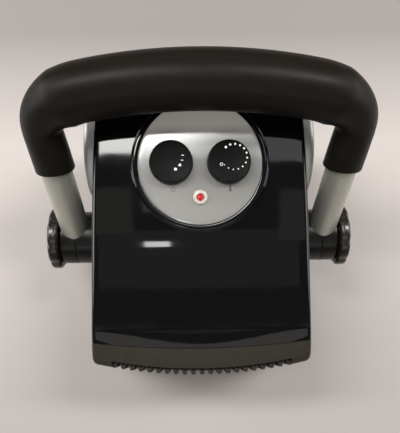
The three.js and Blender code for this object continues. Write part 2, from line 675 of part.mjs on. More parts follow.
function gripRadius(centre) {
  if (centre.z < BEND_START) {
    const t = Math.max(0, (centre.z - GRIP_START) / (BEND_START - GRIP_START));
    return THREE.MathUtils.lerp(GRIP_END_R, GRIP_BEND_R, t);
  }
  const t = Math.max(0, 1 - Math.abs(centre.x) / ARM_TOP_X);
  return THREE.MathUtils.lerp(GRIP_BEND_R, GRIP_BAR_R, Math.min(1, t * GRIP_SWELL) ** 0.7);
}

// The tube is drawn in under the grip; the grip's bore follows it with a clearance.
function tubeBar(clearance) {
  return roundBar(TUBE_START, 40, 12, (c) => clearance + (c.z < GRIP_START ? TUBE_R : GRIP_LINE_R));
}

const handleTube = () => onHandle(tubeBar(0));
const gripBar = () => onHandle(cut(roundBar(GRIP_START, 28, 16, gripRadius), tubeBar(GAP)));

// ---------- pivots ----------
const outwards = (geometry, side) => (side > 0 ? geometry : clean(geometry.clone().scale(-1, 1, 1)));
const atPivot = (geometry, side) => moved(outwards(geometry, side), 0, 0, PIVOT_Z);

function tubeSocket() {
  const socket = disc(TUBE_R + GAP, TUBE_START - GAP, HUB_R * 2, 'z', 16);
  socket.applyMatrix4(new THREE.Matrix4().makeRotationY(ARM_ANGLE));
  return moved(socket, ARM_X, -HANDLE_AHEAD, 0);
}

// One half of a hub from its flat seam to its bevelled outer face.
function hubHalf(seam, face) {
  const [bore, rim] = [STUB_R + RUN, HUB_R - HUB_EDGE];
  const bevel = face - Math.sign(face - seam) * HUB_EDGE;
  const profile = [[bore, seam], [HUB_R, seam], [HUB_R, bevel], [rim, face], [bore, face], [bore, seam]];
  const half = cut(turned(profile, 'x', 24), tubeSocket());
  return clean(half.applyMatrix4(new THREE.Matrix4().makeRotationX(-rad(LEAN))));
}

function pivotStub() {
  const inner = halfWidthAt(PIVOT_BOSS_R) - WALL - GAP * 2;
  const start = inner - STUB_FLANGE_T;
  const bore = STUD_R + GAP;
  return turned([
    [bore, start], [STUB_FLANGE_R, start], [STUB_FLANGE_R, inner], [STUB_R, inner],
    [STUB_R, STUB_END], [bore, STUB_END], [bore, start],
  ], 'x', 18);
}

// Clamp knob: a disc with scallops between its lobes and a blind hole for the stud.
function starKnob() {
  const shape = new THREE.Shape();
  const steps = KNOB_LOBES * 4;
  for (let i = 0; i < steps; i++) {
    const a = (2 * Math.PI * i) / steps;
    const dip = KNOB_LOBE_DEPTH * Math.max(0, -Math.cos(KNOB_LOBES * a)) ** 1.5;
    const r = KNOB_R - KNOB_EDGE - dip;
    if (i === 0) shape.moveTo(r * Math.cos(a), r * Math.sin(a));
    else shape.lineTo(r * Math.cos(a), r * Math.sin(a));
  }
  shape.closePath();
  const body = prism(shape, KNOB_T - 2 * KNOB_EDGE, SIDE_VIEW, {
    bevelEnabled: true, bevelSize: KNOB_EDGE, bevelThickness: KNOB_EDGE, bevelSegments: 1,
  });
  const hole = disc(STUD_R + GAP, -KNOB_T, KNOB_BORE, 'x', 16);
  return moved(cut(moved(body, KNOB_EDGE, 0, 0), hole), KNOB_X, 0, 0);
}

function knobCap() {
  const x = KNOB_END + GAP;
  const crown = [[CAP_R, x + CAP_T * 0.4], [CAP_R - CAP_EDGE, x + CAP_T * 0.9], [0, x + CAP_T]];
  return turned([[0, x], [CAP_R, x], ...crown], 'x', 20);
}

function sideCover() {
  const inner = halfWidthAt(COVER_Y - COVER_R) + GAP;
  const [centre, e] = [COVER_OUT_X - COVER_CROWN - COVER_EDGE_R, COVER_EDGE_R];
  const edge = Array.from({ length: 4 }, (_, i) => (Math.PI / 2) * (i / 3))
    .map((a) => [COVER_R - e + e * Math.cos(a), centre + e * Math.sin(a)]);
  const crown = [[COVER_R * 0.5, COVER_OUT_X - COVER_CROWN * 0.3], [0, COVER_OUT_X]];
  const cover = turned([[0, inner], [COVER_R, inner], ...edge, ...crown], 'x', 30);
  return moved(cover, 0, COVER_Y, COVER_Z);
}

// ---------- warm air path ----------
const FLOOR_Z = BASE_Z + WALL + GAP;
const HEATER_FRONT_Y = HEATER_BACK_Y - HEATER_T;
const HEATER_HALF = HALF_WIDTH - POST_IN_X - POST_R - HEATER_SIDE;

function heaterFrame() {
  const [h, top, low] = [HEATER_HALF, AIR_Z + HEATER_H / 2, AIR_Z - HEATER_H / 2];
  const frame = polygon([
    [-h, FLOOR_Z], [-h + LEG_W, FLOOR_Z], [-h + LEG_W, low], [h - LEG_W, low],
    [h - LEG_W, FLOOR_Z], [h, FLOOR_Z], [h, top], [-h, top],
  ]);
  const r = HEATER_RIM;
  frame.holes.push(polygon([[-h + r, low + r], [h - r, low + r], [h - r, top - r], [-h + r, top - r]]));
  return moved(prism(frame, HEATER_T, FRONT_VIEW), 0, HEATER_BACK_Y, 0);
}

// Ceramic bars and folded fins fill the frame in turn, from the bottom up.
const STACK_LOW = AIR_Z - HEATER_H / 2 + HEATER_RIM;
const STACK_H = HEATER_H - 2 * HEATER_RIM;
const FIN_H = (STACK_H - CERAMIC_BARS * CERAMIC_T - (2 * CERAMIC_BARS + 2) * GAP) / (CERAMIC_BARS + 1);
const STACK_STEP = FIN_H + CERAMIC_T + 2 * GAP;

function ceramicBar(index) {
  const z = STACK_LOW + GAP + FIN_H + GAP + index * STACK_STEP;
  const half = HEATER_HALF - HEATER_RIM - GAP;
  return block(-half, half, HEATER_FRONT_Y + BAR_INSET, HEATER_BACK_Y - BAR_INSET, z, z + CERAMIC_T);
}

function finStrip(index) {
  const z = STACK_LOW + GAP + index * STACK_STEP;
  const half = HEATER_HALF - HEATER_RIM - GAP;
  const step = (2 * half) / FIN_FOLDS;
  const inner = step - FIN_SHEET;
  const strip = polygon([[-half, z], [half, z], [half, z + FIN_H], [-half, z + FIN_H]]);
  const bays = [];
  for (let i = 0; i < FIN_FOLDS; i++) {
    const x = -half + i * step + FIN_SHEET / 2;
    const up = i % 2 === 0;
    bays.push(block(x, x + inner, HEATER_FRONT_Y, HEATER_BACK_Y,
      up ? z + FIN_SHEET : z - GAP, up ? z + FIN_H + GAP : z + FIN_H - FIN_SHEET));
  }
  const slab = moved(prism(strip, HEATER_T - 2 * FIN_INSET, FRONT_VIEW), 0, HEATER_BACK_Y - FIN_INSET, 0);
  return cut(slab, ...bays);
}

// Fittings on top of the heater's frame, on its middle line.
const FITTING_Y = (HEATER_BACK_Y + HEATER_FRONT_Y) / 2;
const FITTING_Z = AIR_Z + HEATER_H / 2 + GAP;
function plateOnFrame(x, width, depth, from, to) {
  return block(x - width / 2, x + width / 2, FITTING_Y - depth / 2, FITTING_Y + depth / 2, from, to);
}

// Flat terminal that stands up to just below the casing.
function terminal(side) {
  const x = side * (HEATER_HALF - LEG_W);
  const tip = roofAt(FITTING_Y) - TERMINAL_CLEAR;
  const footPlate = plateOnFrame(x, TERMINAL_FOOT, TERMINAL_FOOT_D, FITTING_Z, FITTING_Z + TERMINAL_FOOT_T);
  return join(footPlate, plateOnFrame(x, TERMINAL_W, TERMINAL_T, FITTING_Z, tip));
}

function thermalCutoff() {
  const can = moved(disc(CUTOFF_R, FITTING_Z, FITTING_Z + CUTOFF_H, 'z', 20), 0, FITTING_Y, 0);
  return join(plateOnFrame(0, CUTOFF_W, CUTOFF_D, FITTING_Z, FITTING_Z + CUTOFF_T), can);
}

const DUCT_REAR_Y = FAN_Y + DUCT_L / 2;
function fanDuct() {
  const ringPart = moved(ring(DUCT_R, DUCT_R + DUCT_WALL, -DUCT_L / 2, DUCT_L / 2, 'y', 28), 0, FAN_Y, AIR_Z);
  const h = DUCT_HALF;
  const plate = polygon([[-h, FLOOR_Z], [h, FLOOR_Z], [h, AIR_Z + h], [-h, AIR_Z + h]]);
  const opening = new THREE.Path();
  opening.absarc(0, AIR_Z, DUCT_R + DUCT_WALL / 2, 0, 2 * Math.PI, true);
  plate.holes.push(opening);
  const flange = moved(prism(plate, DUCT_PLATE_T, FRONT_VIEW, { curveSegments: 14 }), 0, DUCT_REAR_Y, 0);
  return join(ringPart, flange);
}

const BRACKET_Y = DUCT_REAR_Y + GAP;
function motorBracket() {
  const half = DUCT_R + DUCT_WALL + BRACKET_LAP;
  const w = BRACKET_W / 2;
  const arms = block(-half, half, BRACKET_Y, BRACKET_Y + BRACKET_T, AIR_Z - w, AIR_Z + w);
  const plate = moved(disc(MOTOR_R, BRACKET_Y, BRACKET_Y + BRACKET_T, 'y', 20), 0, 0, AIR_Z);
  const hole = moved(disc(MOTOR_SHAFT_R + RUN, -REACH, REACH, 'y', 16), 0, 0, AIR_Z);
  return cut(join(arms, plate), hole);
}

const MOTOR_Y = BRACKET_Y + BRACKET_T + GAP;
function motorBody() {
  const bore = MOTOR_SHAFT_R + GAP;
  const end = MOTOR_Y + MOTOR_L;
  const back = end - MOTOR_NOSE_L;
  return moved(turned([
    [bore, MOTOR_Y], [MOTOR_R - MOTOR_EDGE, MOTOR_Y], [MOTOR_R, MOTOR_Y + MOTOR_EDGE],
    [MOTOR_R, back - MOTOR_EDGE], [MOTOR_R - MOTOR_SHOULDER, back],
    [MOTOR_NOSE_R, back], [MOTOR_NOSE_R, end], [bore, end], [bore, MOTOR_Y],
  ], 'y', 20), 0, 0, AIR_Z);
}

function motorShaft() {
  const [from, to] = [FAN_Y - FAN_HUB_L / 2 + FAN_FACE, MOTOR_Y + MOTOR_L - GAP];
  return moved(disc(MOTOR_SHAFT_R, from, to, 'y', 16), 0, 0, AIR_Z);
}

function fanImpeller() {
  const l = FAN_HUB_L / 2;
  const bore = MOTOR_SHAFT_R + GAP;
  const wall = -l + FAN_FACE - GAP;
  const hub = turned([
    [0, -l], [FAN_HUB_R - FAN_NOSE, -l], [FAN_HUB_R, -l + FAN_NOSE], [FAN_HUB_R, l],
    [bore, l], [bore, wall], [0, wall],
  ], 'y', 20);
  const blades = [];
  for (let i = 0; i < FAN_BLADES; i++) {
    const from = FAN_HUB_R - BLADE_ROOT;
    const blade = new THREE.BoxGeometry(BLADE_CHORD, BLADE_T, FAN_R - from)
      .rotateZ(rad(BLADE_PITCH)).translate(0, 0, (FAN_R + from) / 2).rotateY((2 * Math.PI * i) / FAN_BLADES);
    blades.push(blade);
  }
  return moved(join(hub, ...blades), 0, FAN_Y, AIR_Z);
}

// ---------- base fittings ----------
function foot() {
  const top = BASE_Z - GAP;
  return turned([
    [0, 0], [FOOT_R - FOOT_EDGE, 0], [FOOT_R, FOOT_EDGE], [FOOT_R, top], [FOOT_STEM_R, top],
    [FOOT_STEM_R, BASE_Z + WALL], [0, BASE_Z + WALL],
  ], 'z', 16);
}

function screw() {
  const [z, tip] = [BASE_Z + GAP, SPLIT_Z - SCREW_SHORT];
  return turned([
    [0, z], [SCREW_HEAD_R, z], [SCREW_HEAD_R, z + SCREW_HEAD_T], [SCREW_R, z + SCREW_HEAD_T],
    [SCREW_R, tip], [0, tip],
  ], 'z', 10);
}

function cordBushing() {
  const [seat, end] = [REAR_Y + GAP, REAR_Y + GAP + BUSHING_FLANGE_T];
  return moved(turned([
    [BUSHING_BORE_R, REAR_Y - WALL], [BUSHING_R, REAR_Y - WALL], [BUSHING_R, seat], [BUSHING_FLANGE_R, seat],
    [BUSHING_FLANGE_R, end - BUSHING_EDGE], [BUSHING_FLANGE_R - BUSHING_EDGE, end], [BUSHING_BORE_R, end],
    [BUSHING_BORE_R, REAR_Y - WALL],
  ], 'y', 18), 0, 0, BUSHING_Z);
}

function terminalBlock() {
  const y = REAR_Y - BLOCK_TO_REAR;
  return block(-BLOCK_W / 2, BLOCK_W / 2, y - BLOCK_D, y, FLOOR_Z, FLOOR_Z + BLOCK_H);
}

// ---------- assembly ----------
const heater = new THREE.Group();
function add(name, geometry, material) {
  const mesh = new THREE.Mesh(geometry, material);
  mesh.name = name;
  heater.add(mesh);
}

add('top_shell', topShell(), FINISH.glossBlack);
add('base_tub', baseTub(), FINISH.mattBlack);
add('front_bezel', frontBezel(), FINISH.charcoal);
add('outlet_grille', outletGrille(), FINISH.charcoal);
add('intake_grille', intakeGrille(), FINISH.mattBlack);
add('control_panel', controlPanel(), FINISH.panel);
const [mode, thermostat] = CONTROLS;
add('mode_dial', dial(mode), FINISH.mattBlack);
add('mode_shaft', dialShaft(mode), FINISH.steel);
add('mode_switch', switchBody(mode), FINISH.cream);
add('thermostat_dial', dial(thermostat), FINISH.mattBlack);
add('thermostat_shaft', dialShaft(thermostat), FINISH.steel);
add('thermostat_body', thermostatBody(thermostat), FINISH.steel);
add('lamp_ring', lampRing(), FINISH.milky);
add('lamp_lens', lampLens(), FINISH.red);
add('neon_lamp', neonLamp(), FINISH.glass);
add('handle_tube', handleTube(), FINISH.silver);
add('handle_grip', gripBar(), FINISH.gripRubber);

for (const [word, side] of [['left', -1], ['right', 1]]) {
  add(`hub_inner_${word}`, atPivot(hubHalf(ARM_X - GAP / 2, HUB_IN_X), side), FINISH.mattBlack);
  add(`hub_outer_${word}`, atPivot(hubHalf(ARM_X + GAP / 2, HUB_OUT_X), side), FINISH.mattBlack);
  add(`friction_washer_${word}`,
    atPivot(ring(STUB_R + GAP, HUB_R - 2, WASHER_X, WASHER_X + WASHER_T, 'x', 20), side), FINISH.steel);
  add(`pivot_stub_${word}`, atPivot(pivotStub(), side), FINISH.brass);
  add(`clamp_knob_${word}`, atPivot(starKnob(), side), FINISH.glossBlack);
  add(`knob_cap_${word}`, atPivot(knobCap(), side), FINISH.mattBlack);
  add(`knob_stud_${word}`,
    atPivot(disc(STUD_R, halfWidthAt(0), KNOB_X + KNOB_BORE - GAP, 'x', 16), side), FINISH.steel);
  add(`side_cover_${word}`, outwards(sideCover(), side), FINISH.silverPlastic);
}

add('heater_frame', heaterFrame(), FINISH.cream);
for (let i = 0; i < CERAMIC_BARS; i++) add(`ceramic_bar_${i + 1}`, ceramicBar(i), FINISH.ceramic);
for (let i = 0; i <= CERAMIC_BARS; i++) add(`fin_strip_${i + 1}`, finStrip(i), FINISH.aluminium);
add('terminal_left', terminal(-1), FINISH.brass);
add('terminal_right', terminal(1), FINISH.brass);
add('thermal_cutoff', thermalCutoff(), FINISH.steel);
add('fan_duct', fanDuct(), FINISH.mattBlack);
add('motor_bracket', motorBracket(), FINISH.steel);
add('motor_body', motorBody(), FINISH.steel);
add('motor_shaft', motorShaft(), FINISH.steel);
add('fan_impeller', fanImpeller(), FINISH.mattBlack);
add('terminal_block', terminalBlock(), FINISH.cream);
add('cord_bushing', cordBushing(), FINISH.rubber);
FEET.forEach(([x, y], i) => add(`foot_${i + 1}`, moved(foot(), x, y, 0), FINISH.rubber));
POSTS.forEach(([x, y], i) => add(`case_screw_${i + 1}`, moved(screw(), x, y, 0), FINISH.steel));

const box = new THREE.Box3().setFromObject(heater);
const middle = box.getCenter(new THREE.Vector3());
heater.position.set(-middle.x, -middle.y, -box.min.z);

export default heater;
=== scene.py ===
import json
import logging
import math
from collections.abc import Callable, Iterable, Sequence
from dataclasses import dataclass, field
from enum import Enum
from functools import cache

import bmesh
import bpy
from mathutils import Matrix, Vector
from mathutils.geometry import interpolate_bezier


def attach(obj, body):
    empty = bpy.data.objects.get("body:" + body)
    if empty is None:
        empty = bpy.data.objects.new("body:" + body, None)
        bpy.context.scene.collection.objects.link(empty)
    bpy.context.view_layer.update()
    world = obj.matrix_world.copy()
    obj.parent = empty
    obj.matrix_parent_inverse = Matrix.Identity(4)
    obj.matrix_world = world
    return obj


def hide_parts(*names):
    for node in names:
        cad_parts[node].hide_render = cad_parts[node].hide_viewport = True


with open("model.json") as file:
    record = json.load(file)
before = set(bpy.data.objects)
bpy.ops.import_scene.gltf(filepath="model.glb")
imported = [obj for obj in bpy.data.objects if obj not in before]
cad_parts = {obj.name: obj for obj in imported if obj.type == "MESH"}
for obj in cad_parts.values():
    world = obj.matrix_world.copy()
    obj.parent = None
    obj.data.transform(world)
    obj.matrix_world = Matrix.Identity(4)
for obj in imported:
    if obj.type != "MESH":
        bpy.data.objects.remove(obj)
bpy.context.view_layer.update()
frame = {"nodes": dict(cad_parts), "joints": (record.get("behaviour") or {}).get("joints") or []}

log = logging.getLogger("heater")

MM = 0.001
JOINTS = {joint["name"]: joint for joint in frame["joints"]}
PIVOT_Y, PIVOT_Z = (value / MM for value in JOINTS["handle_swing"]["pos_m"][1:])

# in millimetres: between neighbouring pieces, through the casing's wall, and through what is printed
GAP = 0.3
WALL = 2.6
INK = 0.05

Pair = tuple[float, float]
Point = tuple[float, float]
Colour = tuple[float, float, float]
Tones = Sequence[Pair]


# ---------- finishes ----------
def shade(hexcode: int) -> Colour:
    """Turns a screen colour into the linear values that a shader takes.

    Args:
        hexcode: The colour as 0xRRGGBB.

    Returns:
        Red, green and blue, each from 0 to 1, linear.
    """
    parts = [((hexcode >> shift) & 255) / 255 for shift in (16, 8, 0)]
    return tuple(p / 12.92 if p <= 0.04045 else ((p + 0.055) / 1.055) ** 2.4 for p in parts)


def scaled(colour: Colour, share: float) -> Colour:
    """A colour made lighter or darker."""
    return tuple(part * share for part in colour)


class Recipe:
    """A material's nodes while they are being put together."""

    def __init__(self, name: str) -> None:
        """Starts a material that has only its shader and its output.

        Args:
            name: The material's name.
        """
        self.material = bpy.data.materials.new(name)
        self.material.use_nodes = True
        self.tree = self.material.node_tree
        self.shader = self.tree.nodes["Principled BSDF"]
        self.place = self.add("ShaderNodeTexCoord").outputs["Object"]

    def add(self, kind: str, **settings: object) -> bpy.types.Node:
        """Adds a node.

        Args:
            kind: The node's type name.
            settings: Properties of the node, or unlinked inputs where the name is an input's.

        Returns:
            The new node.
        """
        node = self.tree.nodes.new(kind)
        for key, value in settings.items():
            if key in node.inputs:
                node.inputs[key].default_value = value
            else:
                setattr(node, key, value)
        return node

    def link(self, source: bpy.types.NodeSocket, target: bpy.types.NodeSocket) -> None:
        """Connects two sockets."""
        self.tree.links.new(source, target)

    def noise(self, size: float, detail: float = 3,
              stretch: Sequence[float] = (1, 1, 1)) -> bpy.types.NodeSocket:
        """Noise with spots of about a given size.

        Args:
            size: The spots' size in millimetres.
            detail: How much finer noise is laid over it.
            stretch: Scale along each axis, for brushed grain.

        Returns:
            The noise value, from 0 to 1.
        """
        mapping = self.add("ShaderNodeMapping", Scale=tuple(stretch))
        self.link(self.place, mapping.inputs["Vector"])
        node = self.add("ShaderNodeTexNoise", Scale=1 / (size * MM), Detail=detail)
        self.link(mapping.outputs["Vector"], node.inputs["Vector"])
        return node.outputs["Fac"]

    def ranged(self, source: bpy.types.NodeSocket, low: float, high: float,
               start: float = 0.3, end: float = 0.7) -> bpy.types.NodeSocket:
        """Spreads a value from one range over another.

        Args:
            source: The value.
            low: What it gives at the start of its range.
            high: What it gives at the end.
            start: The start of its range.
            end: The end of its range.

        Returns:
            The spread value.
        """
        limits = {"From Min": start, "From Max": end, "To Min": low, "To Max": high}
        node = self.add("ShaderNodeMapRange", **limits)
        self.link(source, node.inputs["Value"])
        return node.outputs["Result"]

    def roughened(self, source: bpy.types.NodeSocket, low: float, high: float) -> None:
        """Lets a value set the roughness, from low to high."""
        self.link(self.ranged(source, low, high), self.shader.inputs["Roughness"])

    def tinted(self, source: bpy.types.NodeSocket, first: Colour, second: Colour) -> None:
        """Colours the shader from one colour to another as a value rises.

        Args:
            source: The value.
            first: The colour where it is low.
            second: The colour where it is high.
        """
        mix = self.add("ShaderNodeMix", data_type="RGBA")
        self.link(self.ranged(source, 0, 1), mix.inputs["Factor"])
        colours = [s for s in mix.inputs if s.type == "RGBA"]
        colours[0].default_value = (*first, 1)
        colours[1].default_value = (*second, 1)
        result = next(s for s in mix.outputs if s.type == "RGBA")
        self.link(result, self.shader.inputs["Base Color"])

    def paint_light_bands(self, base: Colour, painted_light_tones: Tones, front: float, rear: float) -> None:
        """Paints light and shade into a colour from front to rear.

        Args:
            base: The colour, linear.
            painted_light_tones: Painted light and shade at places along Y, as (place from 0 to 1, share of
                the colour).
            front: Where the places begin, in metres.
            rear: Where they end.
        """
        along = self.add("ShaderNodeSeparateXYZ")
        self.link(self.place, along.inputs["Vector"])
        node = self.add("ShaderNodeValToRGB")
        ramp = node.color_ramp
        for _ in painted_light_tones[2:]:
            ramp.elements.new(0.5)
        for element, (at, share) in zip(ramp.elements, painted_light_tones):
            element.position = at
            element.color = (*scaled(base, share), 1)
        self.link(self.ranged(along.outputs["Y"], 0, 1, front, rear), node.inputs["Fac"])
        self.link(node.outputs["Color"], self.shader.inputs["Base Color"])

    def bumped(self, source: bpy.types.NodeSocket, height: float) -> None:
        """Raises the surface by a value.

        Args:
            source: The value, from 0 to 1.
            height: How far 1 raises it, in millimetres.
        """
        bump = self.add("ShaderNodeBump", Distance=height * MM, Strength=1.0)
        self.link(source, bump.inputs["Height"])
        self.link(bump.outputs["Normal"], self.shader.inputs["Normal"])

    def set(self, **values: float) -> None:
        """Sets unlinked inputs of the shader, with underscores for spaces."""
        for key, value in values.items():
            self.shader.inputs[key.replace("_", " ")].default_value = value


@dataclass(frozen=True)
class Finish:
    """What every finish has.

    Attributes:
        name: The finish's name.
        colour: Screen colour as 0xRRGGBB.
        rough: How rough it is, before its grain or its smudges vary it.
    """

    name: str
    colour: int
    rough: float

    def build(self) -> bpy.types.Material:
        """Puts the material together.

        Returns:
            The material.
        """
        recipe = Recipe(self.name)
        self.fill(recipe, shade(self.colour))
        return recipe.material

    def fill(self, recipe: Recipe, base: Colour) -> None:
        """Adds what this finish is made of.

        Args:
            recipe: The material to add it to.
            base: The finish's colour, linear.
        """
        raise NotImplementedError


@dataclass(frozen=True)
class Moulded(Finish):
    """Moulded plastic or rubber with a fine surface grain.

    Attributes:
        grain: Size of the grain in millimetres.
        relief: Height of the grain in millimetres.
        drift: How much lighter its lightest spots are.
        specular: Specular level.
        blotch: Size of the lighter spots.
        smudge: Size of the duller spots.
        wear: How much rougher those are, as a share and an amount.
    """

    grain: float = 0.5
    relief: float = 0.01
    drift: float = 1.15
    specular: float = 0.5
    blotch: float = 9
    smudge: float = 14
    wear: Pair = (1.12, 0.02)

    def fill(self, recipe: Recipe, base: Colour) -> None:
        """Adds drifting tone, smudges and grain.

        Args:
            recipe: The material to add it to.
            base: The finish's colour, linear.
        """
        share, more = self.wear
        recipe.tinted(recipe.noise(self.blotch), base, scaled(base, self.drift))
        recipe.roughened(recipe.noise(self.smudge), self.rough, self.rough * share + more)
        recipe.bumped(recipe.noise(self.grain, 2), self.relief)
        recipe.set(Specular_IOR_Level=self.specular)


@dataclass(frozen=True)
class Gloss(Finish):
    """Deep gloss plastic with faint waviness and a little dust.

    Attributes:
        wave: Height of the waviness in millimetres.
        ripple: Length of the waviness.
        dust: Size of the dust.
        dusty: Noise values between which dust begins.
        haze: How much the dust lightens.
        smear: Size of the duller spots.
        dull: How much rougher those are.
    """

    wave: float = 0.004
    ripple: float = 12
    dust: float = 0.9
    dusty: Pair = (0.72, 0.8)
    haze: float = 0.02
    smear: float = 22
    dull: float = 0.03

    def fill(self, recipe: Recipe, base: Colour) -> None:
        """Adds dust, smears and waviness.

        Args:
            recipe: The material to add it to.
            base: The finish's colour, linear.
        """
        dust = recipe.ranged(recipe.noise(self.dust, 5), 0, 1, *self.dusty)
        recipe.tinted(dust, base, tuple(part + self.haze for part in base))
        recipe.roughened(recipe.noise(self.smear, 4), self.rough, self.rough + self.dull)
        recipe.bumped(recipe.noise(self.ripple, 1), self.wave)


@dataclass(frozen=True)
class Metallic(Finish):
    """Metal or silver paint, brushed along one axis where its stretch says so.

    Attributes:
        metal: How metallic it is, from 0 to 1.
        grain: Size of its grain in millimetres.
        stretch: Scale of the grain along each axis.
        relief: Height of the grain in millimetres.
        dark: How dark its darkest grain is, as a share.
        spread: How far the roughness goes either way, as a share.
    """

    metal: float = 1.0
    grain: float = 0.6
    stretch: Sequence[float] = (1, 1, 1)
    relief: float = 0.002
    dark: float = 0.94
    spread: float = 0.1

    def fill(self, recipe: Recipe, base: Colour) -> None:
        """Adds the brushed grain.

        Args:
            recipe: The material to add it to.
            base: The finish's colour, linear.
        """
        grain = recipe.noise(self.grain, 3, self.stretch)
        recipe.tinted(grain, scaled(base, self.dark), base)
        recipe.roughened(grain, self.rough * (1 - self.spread), self.rough * (1 + self.spread))
        recipe.bumped(grain, self.relief)
        recipe.set(Metallic=self.metal)


@dataclass(frozen=True)
class Plate(Finish):
    """Satin silver plate with painted light and shade from front to rear, under a thin clear coat.

    Attributes:
        metal: How metallic it is, from 0 to 1.
        painted_light_tones: Painted light and shade at places along it, as (place, share of the colour):
            lightest at the rear, darkest across the middle.
        front: Where the painted light and shade begin along Y, in millimetres.
        rear: Where they end.
        grain: Size of its grain.
        stretch: Scale of the grain along each axis.
        spread: How far the roughness goes either way, as a share.
        coat_rough: Roughness of the coat.
        coat_ior: How strongly the coat bends light.
    """

    metal: float
    painted_light_tones: Tones
    front: float = -10
    rear: float = 87
    grain: float = 0.25
    stretch: Sequence[float] = (0.1, 1, 1)
    spread: float = 0.1
    coat_rough: float = 0.13
    coat_ior: float = 1.9

    def fill(self, recipe: Recipe, base: Colour) -> None:
        """Adds the painted light and shade, the grain and the coat.

        Args:
            recipe: The material to add it to.
            base: The finish's colour, linear.
        """
        # painted light and shade along the plate, from front to rear
        recipe.paint_light_bands(base, self.painted_light_tones, self.front * MM, self.rear * MM)
        grain = recipe.noise(self.grain, 3, self.stretch)
        recipe.roughened(grain, self.rough * (1 - self.spread), self.rough * (1 + self.spread))
        recipe.set(Metallic=self.metal)
        recipe.set(Coat_Weight=1.0, Coat_Roughness=self.coat_rough, Coat_IOR=self.coat_ior)


@dataclass(frozen=True)
class Clear(Finish):
    """Light-passing plastic or glass.

    Attributes:
        passing: Share of light that passes clearly.
        milk: Share of light that scatters inside.
        depth: How deep it scatters, in metres.
        drift: How much lighter its lightest spots are.
        dull: How much rougher its roughest spots are.
    """

    passing: float = 0.0
    milk: float = 0.0
    depth: float = 0.003
    drift: float = 1.08
    dull: float = 0.06

    def fill(self, recipe: Recipe, base: Colour) -> None:
        """Adds drifting tone and lets light in.

        Args:
            recipe: The material to add it to.
            base: The finish's colour, linear.
        """
        recipe.tinted(recipe.noise(2), base, scaled(base, self.drift))
        recipe.roughened(recipe.noise(5), self.rough, self.rough + self.dull)
        recipe.set(Transmission_Weight=self.passing)
        recipe.set(Subsurface_Weight=self.milk, Subsurface_Scale=self.depth)


class Coat(Enum):
    """Every finish on the heater."""

    SHELL = Gloss("shell_gloss", 0x0A0A0B, 0.03)
    KNOB = Gloss("knob_gloss", 0x241F1B, 0.2)
    BASE = Moulded("base_matt", 0x1C1B19, 0.5, 0.5, 0.012, specular=0.35)
    BEZEL = Moulded("bezel_matt", 0x2B2822, 0.45, 0.45, 0.012, specular=0.18)
    GRILLE = Moulded("grille_matt", 0x26231D, 0.45, 0.45, 0.01, specular=0.15)
    HUB = Moulded("hub_satin", 0x151412, 0.26, 0.4, 0.004, specular=0.22)
    DIAL = Moulded("dial_satin", 0x0C0B0A, 0.3, 0.35, 0.003, specular=0.07)
    GRIP = Moulded("grip_soft", 0x16130F, 0.36, 0.6, 0.005, specular=0.11)
    FOOT = Moulded("foot_soft", 0x151515, 0.75, 0.8, 0.02)
    CREAM = Moulded("cream_moulding", 0xCFC6B4, 0.55, 0.5, 0.008)
    CERAMIC = Moulded("ceramic_white", 0xE4DDD0, 0.7, 0.35, 0.02, 1.05)
    # painted light and shade on the plate: lighter towards the rear, darker across the middle
    PANEL = Plate("panel_satin", 0xCFCCC4, 0.38, 0.12,
                  ((0.1, 0.39), (0.38, 0.25), (0.52, 0.23), (0.68, 0.74), (0.8, 1.6)))
    TUBE = Metallic("tube_silver", 0xBEBDB2, 0.4, 0.6, 0.3)
    COVER = Metallic("cover_satin", 0xD2D1CC, 0.42, 0.45, 0.3)
    STEEL = Metallic("steel_plain", 0x9A9A98, 0.32, 1.0, 0.8, (1, 1, 6))
    BRASS = Metallic("brass_plain", 0xB08D4A, 0.3, 1.0, 0.7)
    FIN = Metallic("fin_foil", 0xC4C4C2, 0.42, 1.0, 0.5, (1, 5, 1))
    MILKY = Clear("lamp_milk", 0xBDB8AE, 0.18, 0.0, 0.5)
    RED = Clear("lamp_ruby", 0xB3121C, 0.12, 0.0, 0.3)
    GLASS = Clear("lamp_bulb", 0xE8C8A8, 0.06, 0.8)
    WHITE_INK = Moulded("white_print", 0xE4E4E0, 0.5, 0.2, 0.001, 1.02)
    DARK_INK = Moulded("dark_print", 0x35332F, 0.5, 0.2, 0.001)

    @cache
    def material(self) -> bpy.types.Material:
        """The finish's material, made the first time it is asked for."""
        return self.value.build()


# ---------- shaping ----------
def shifted(x: float = 0, y: float = 0, z: float = 0) -> Matrix:
    """Placement at a point in millimetres."""
    return Matrix.Translation((x, y, z))


def tipped(degrees: float) -> Matrix:
    """A turn about X that raises what lies to the rear."""
    return Matrix.Rotation(math.radians(degrees), 4, "X")


def mirrored(sign: int) -> Matrix:
    """Leaves the right side as it is, with 1, or mirrors it onto the left one, with -1."""
    return Matrix.Scale(sign, 4, (1, 0, 0))


def across(point: Vector) -> Vector:
    """The same point on the other side."""
    return Vector((-point.x, point.y, point.z))


def arc(centre: Point, radius: float, start: float, end: float, count: int = 6) -> list[Point]:
    """Points along an arc.

    Args:
        centre: Its centre.
        radius: Its radius.
        start: First angle in degrees.
        end: Last angle in degrees.
        count: Steps between them.

    Returns:
        The points, both ends included.
    """
    angles = [math.radians(start + (end - start) * i / count) for i in range(count + 1)]
    return [(centre[0] + radius * math.cos(a), centre[1] + radius * math.sin(a)) for a in angles]


def edges_at(verts: Iterable[bmesh.types.BMVert]) -> list[bmesh.types.BMEdge]:
    """Every edge that ends at one of the vertices, once."""
    return list(dict.fromkeys(edge for vert in verts for edge in vert.link_edges))


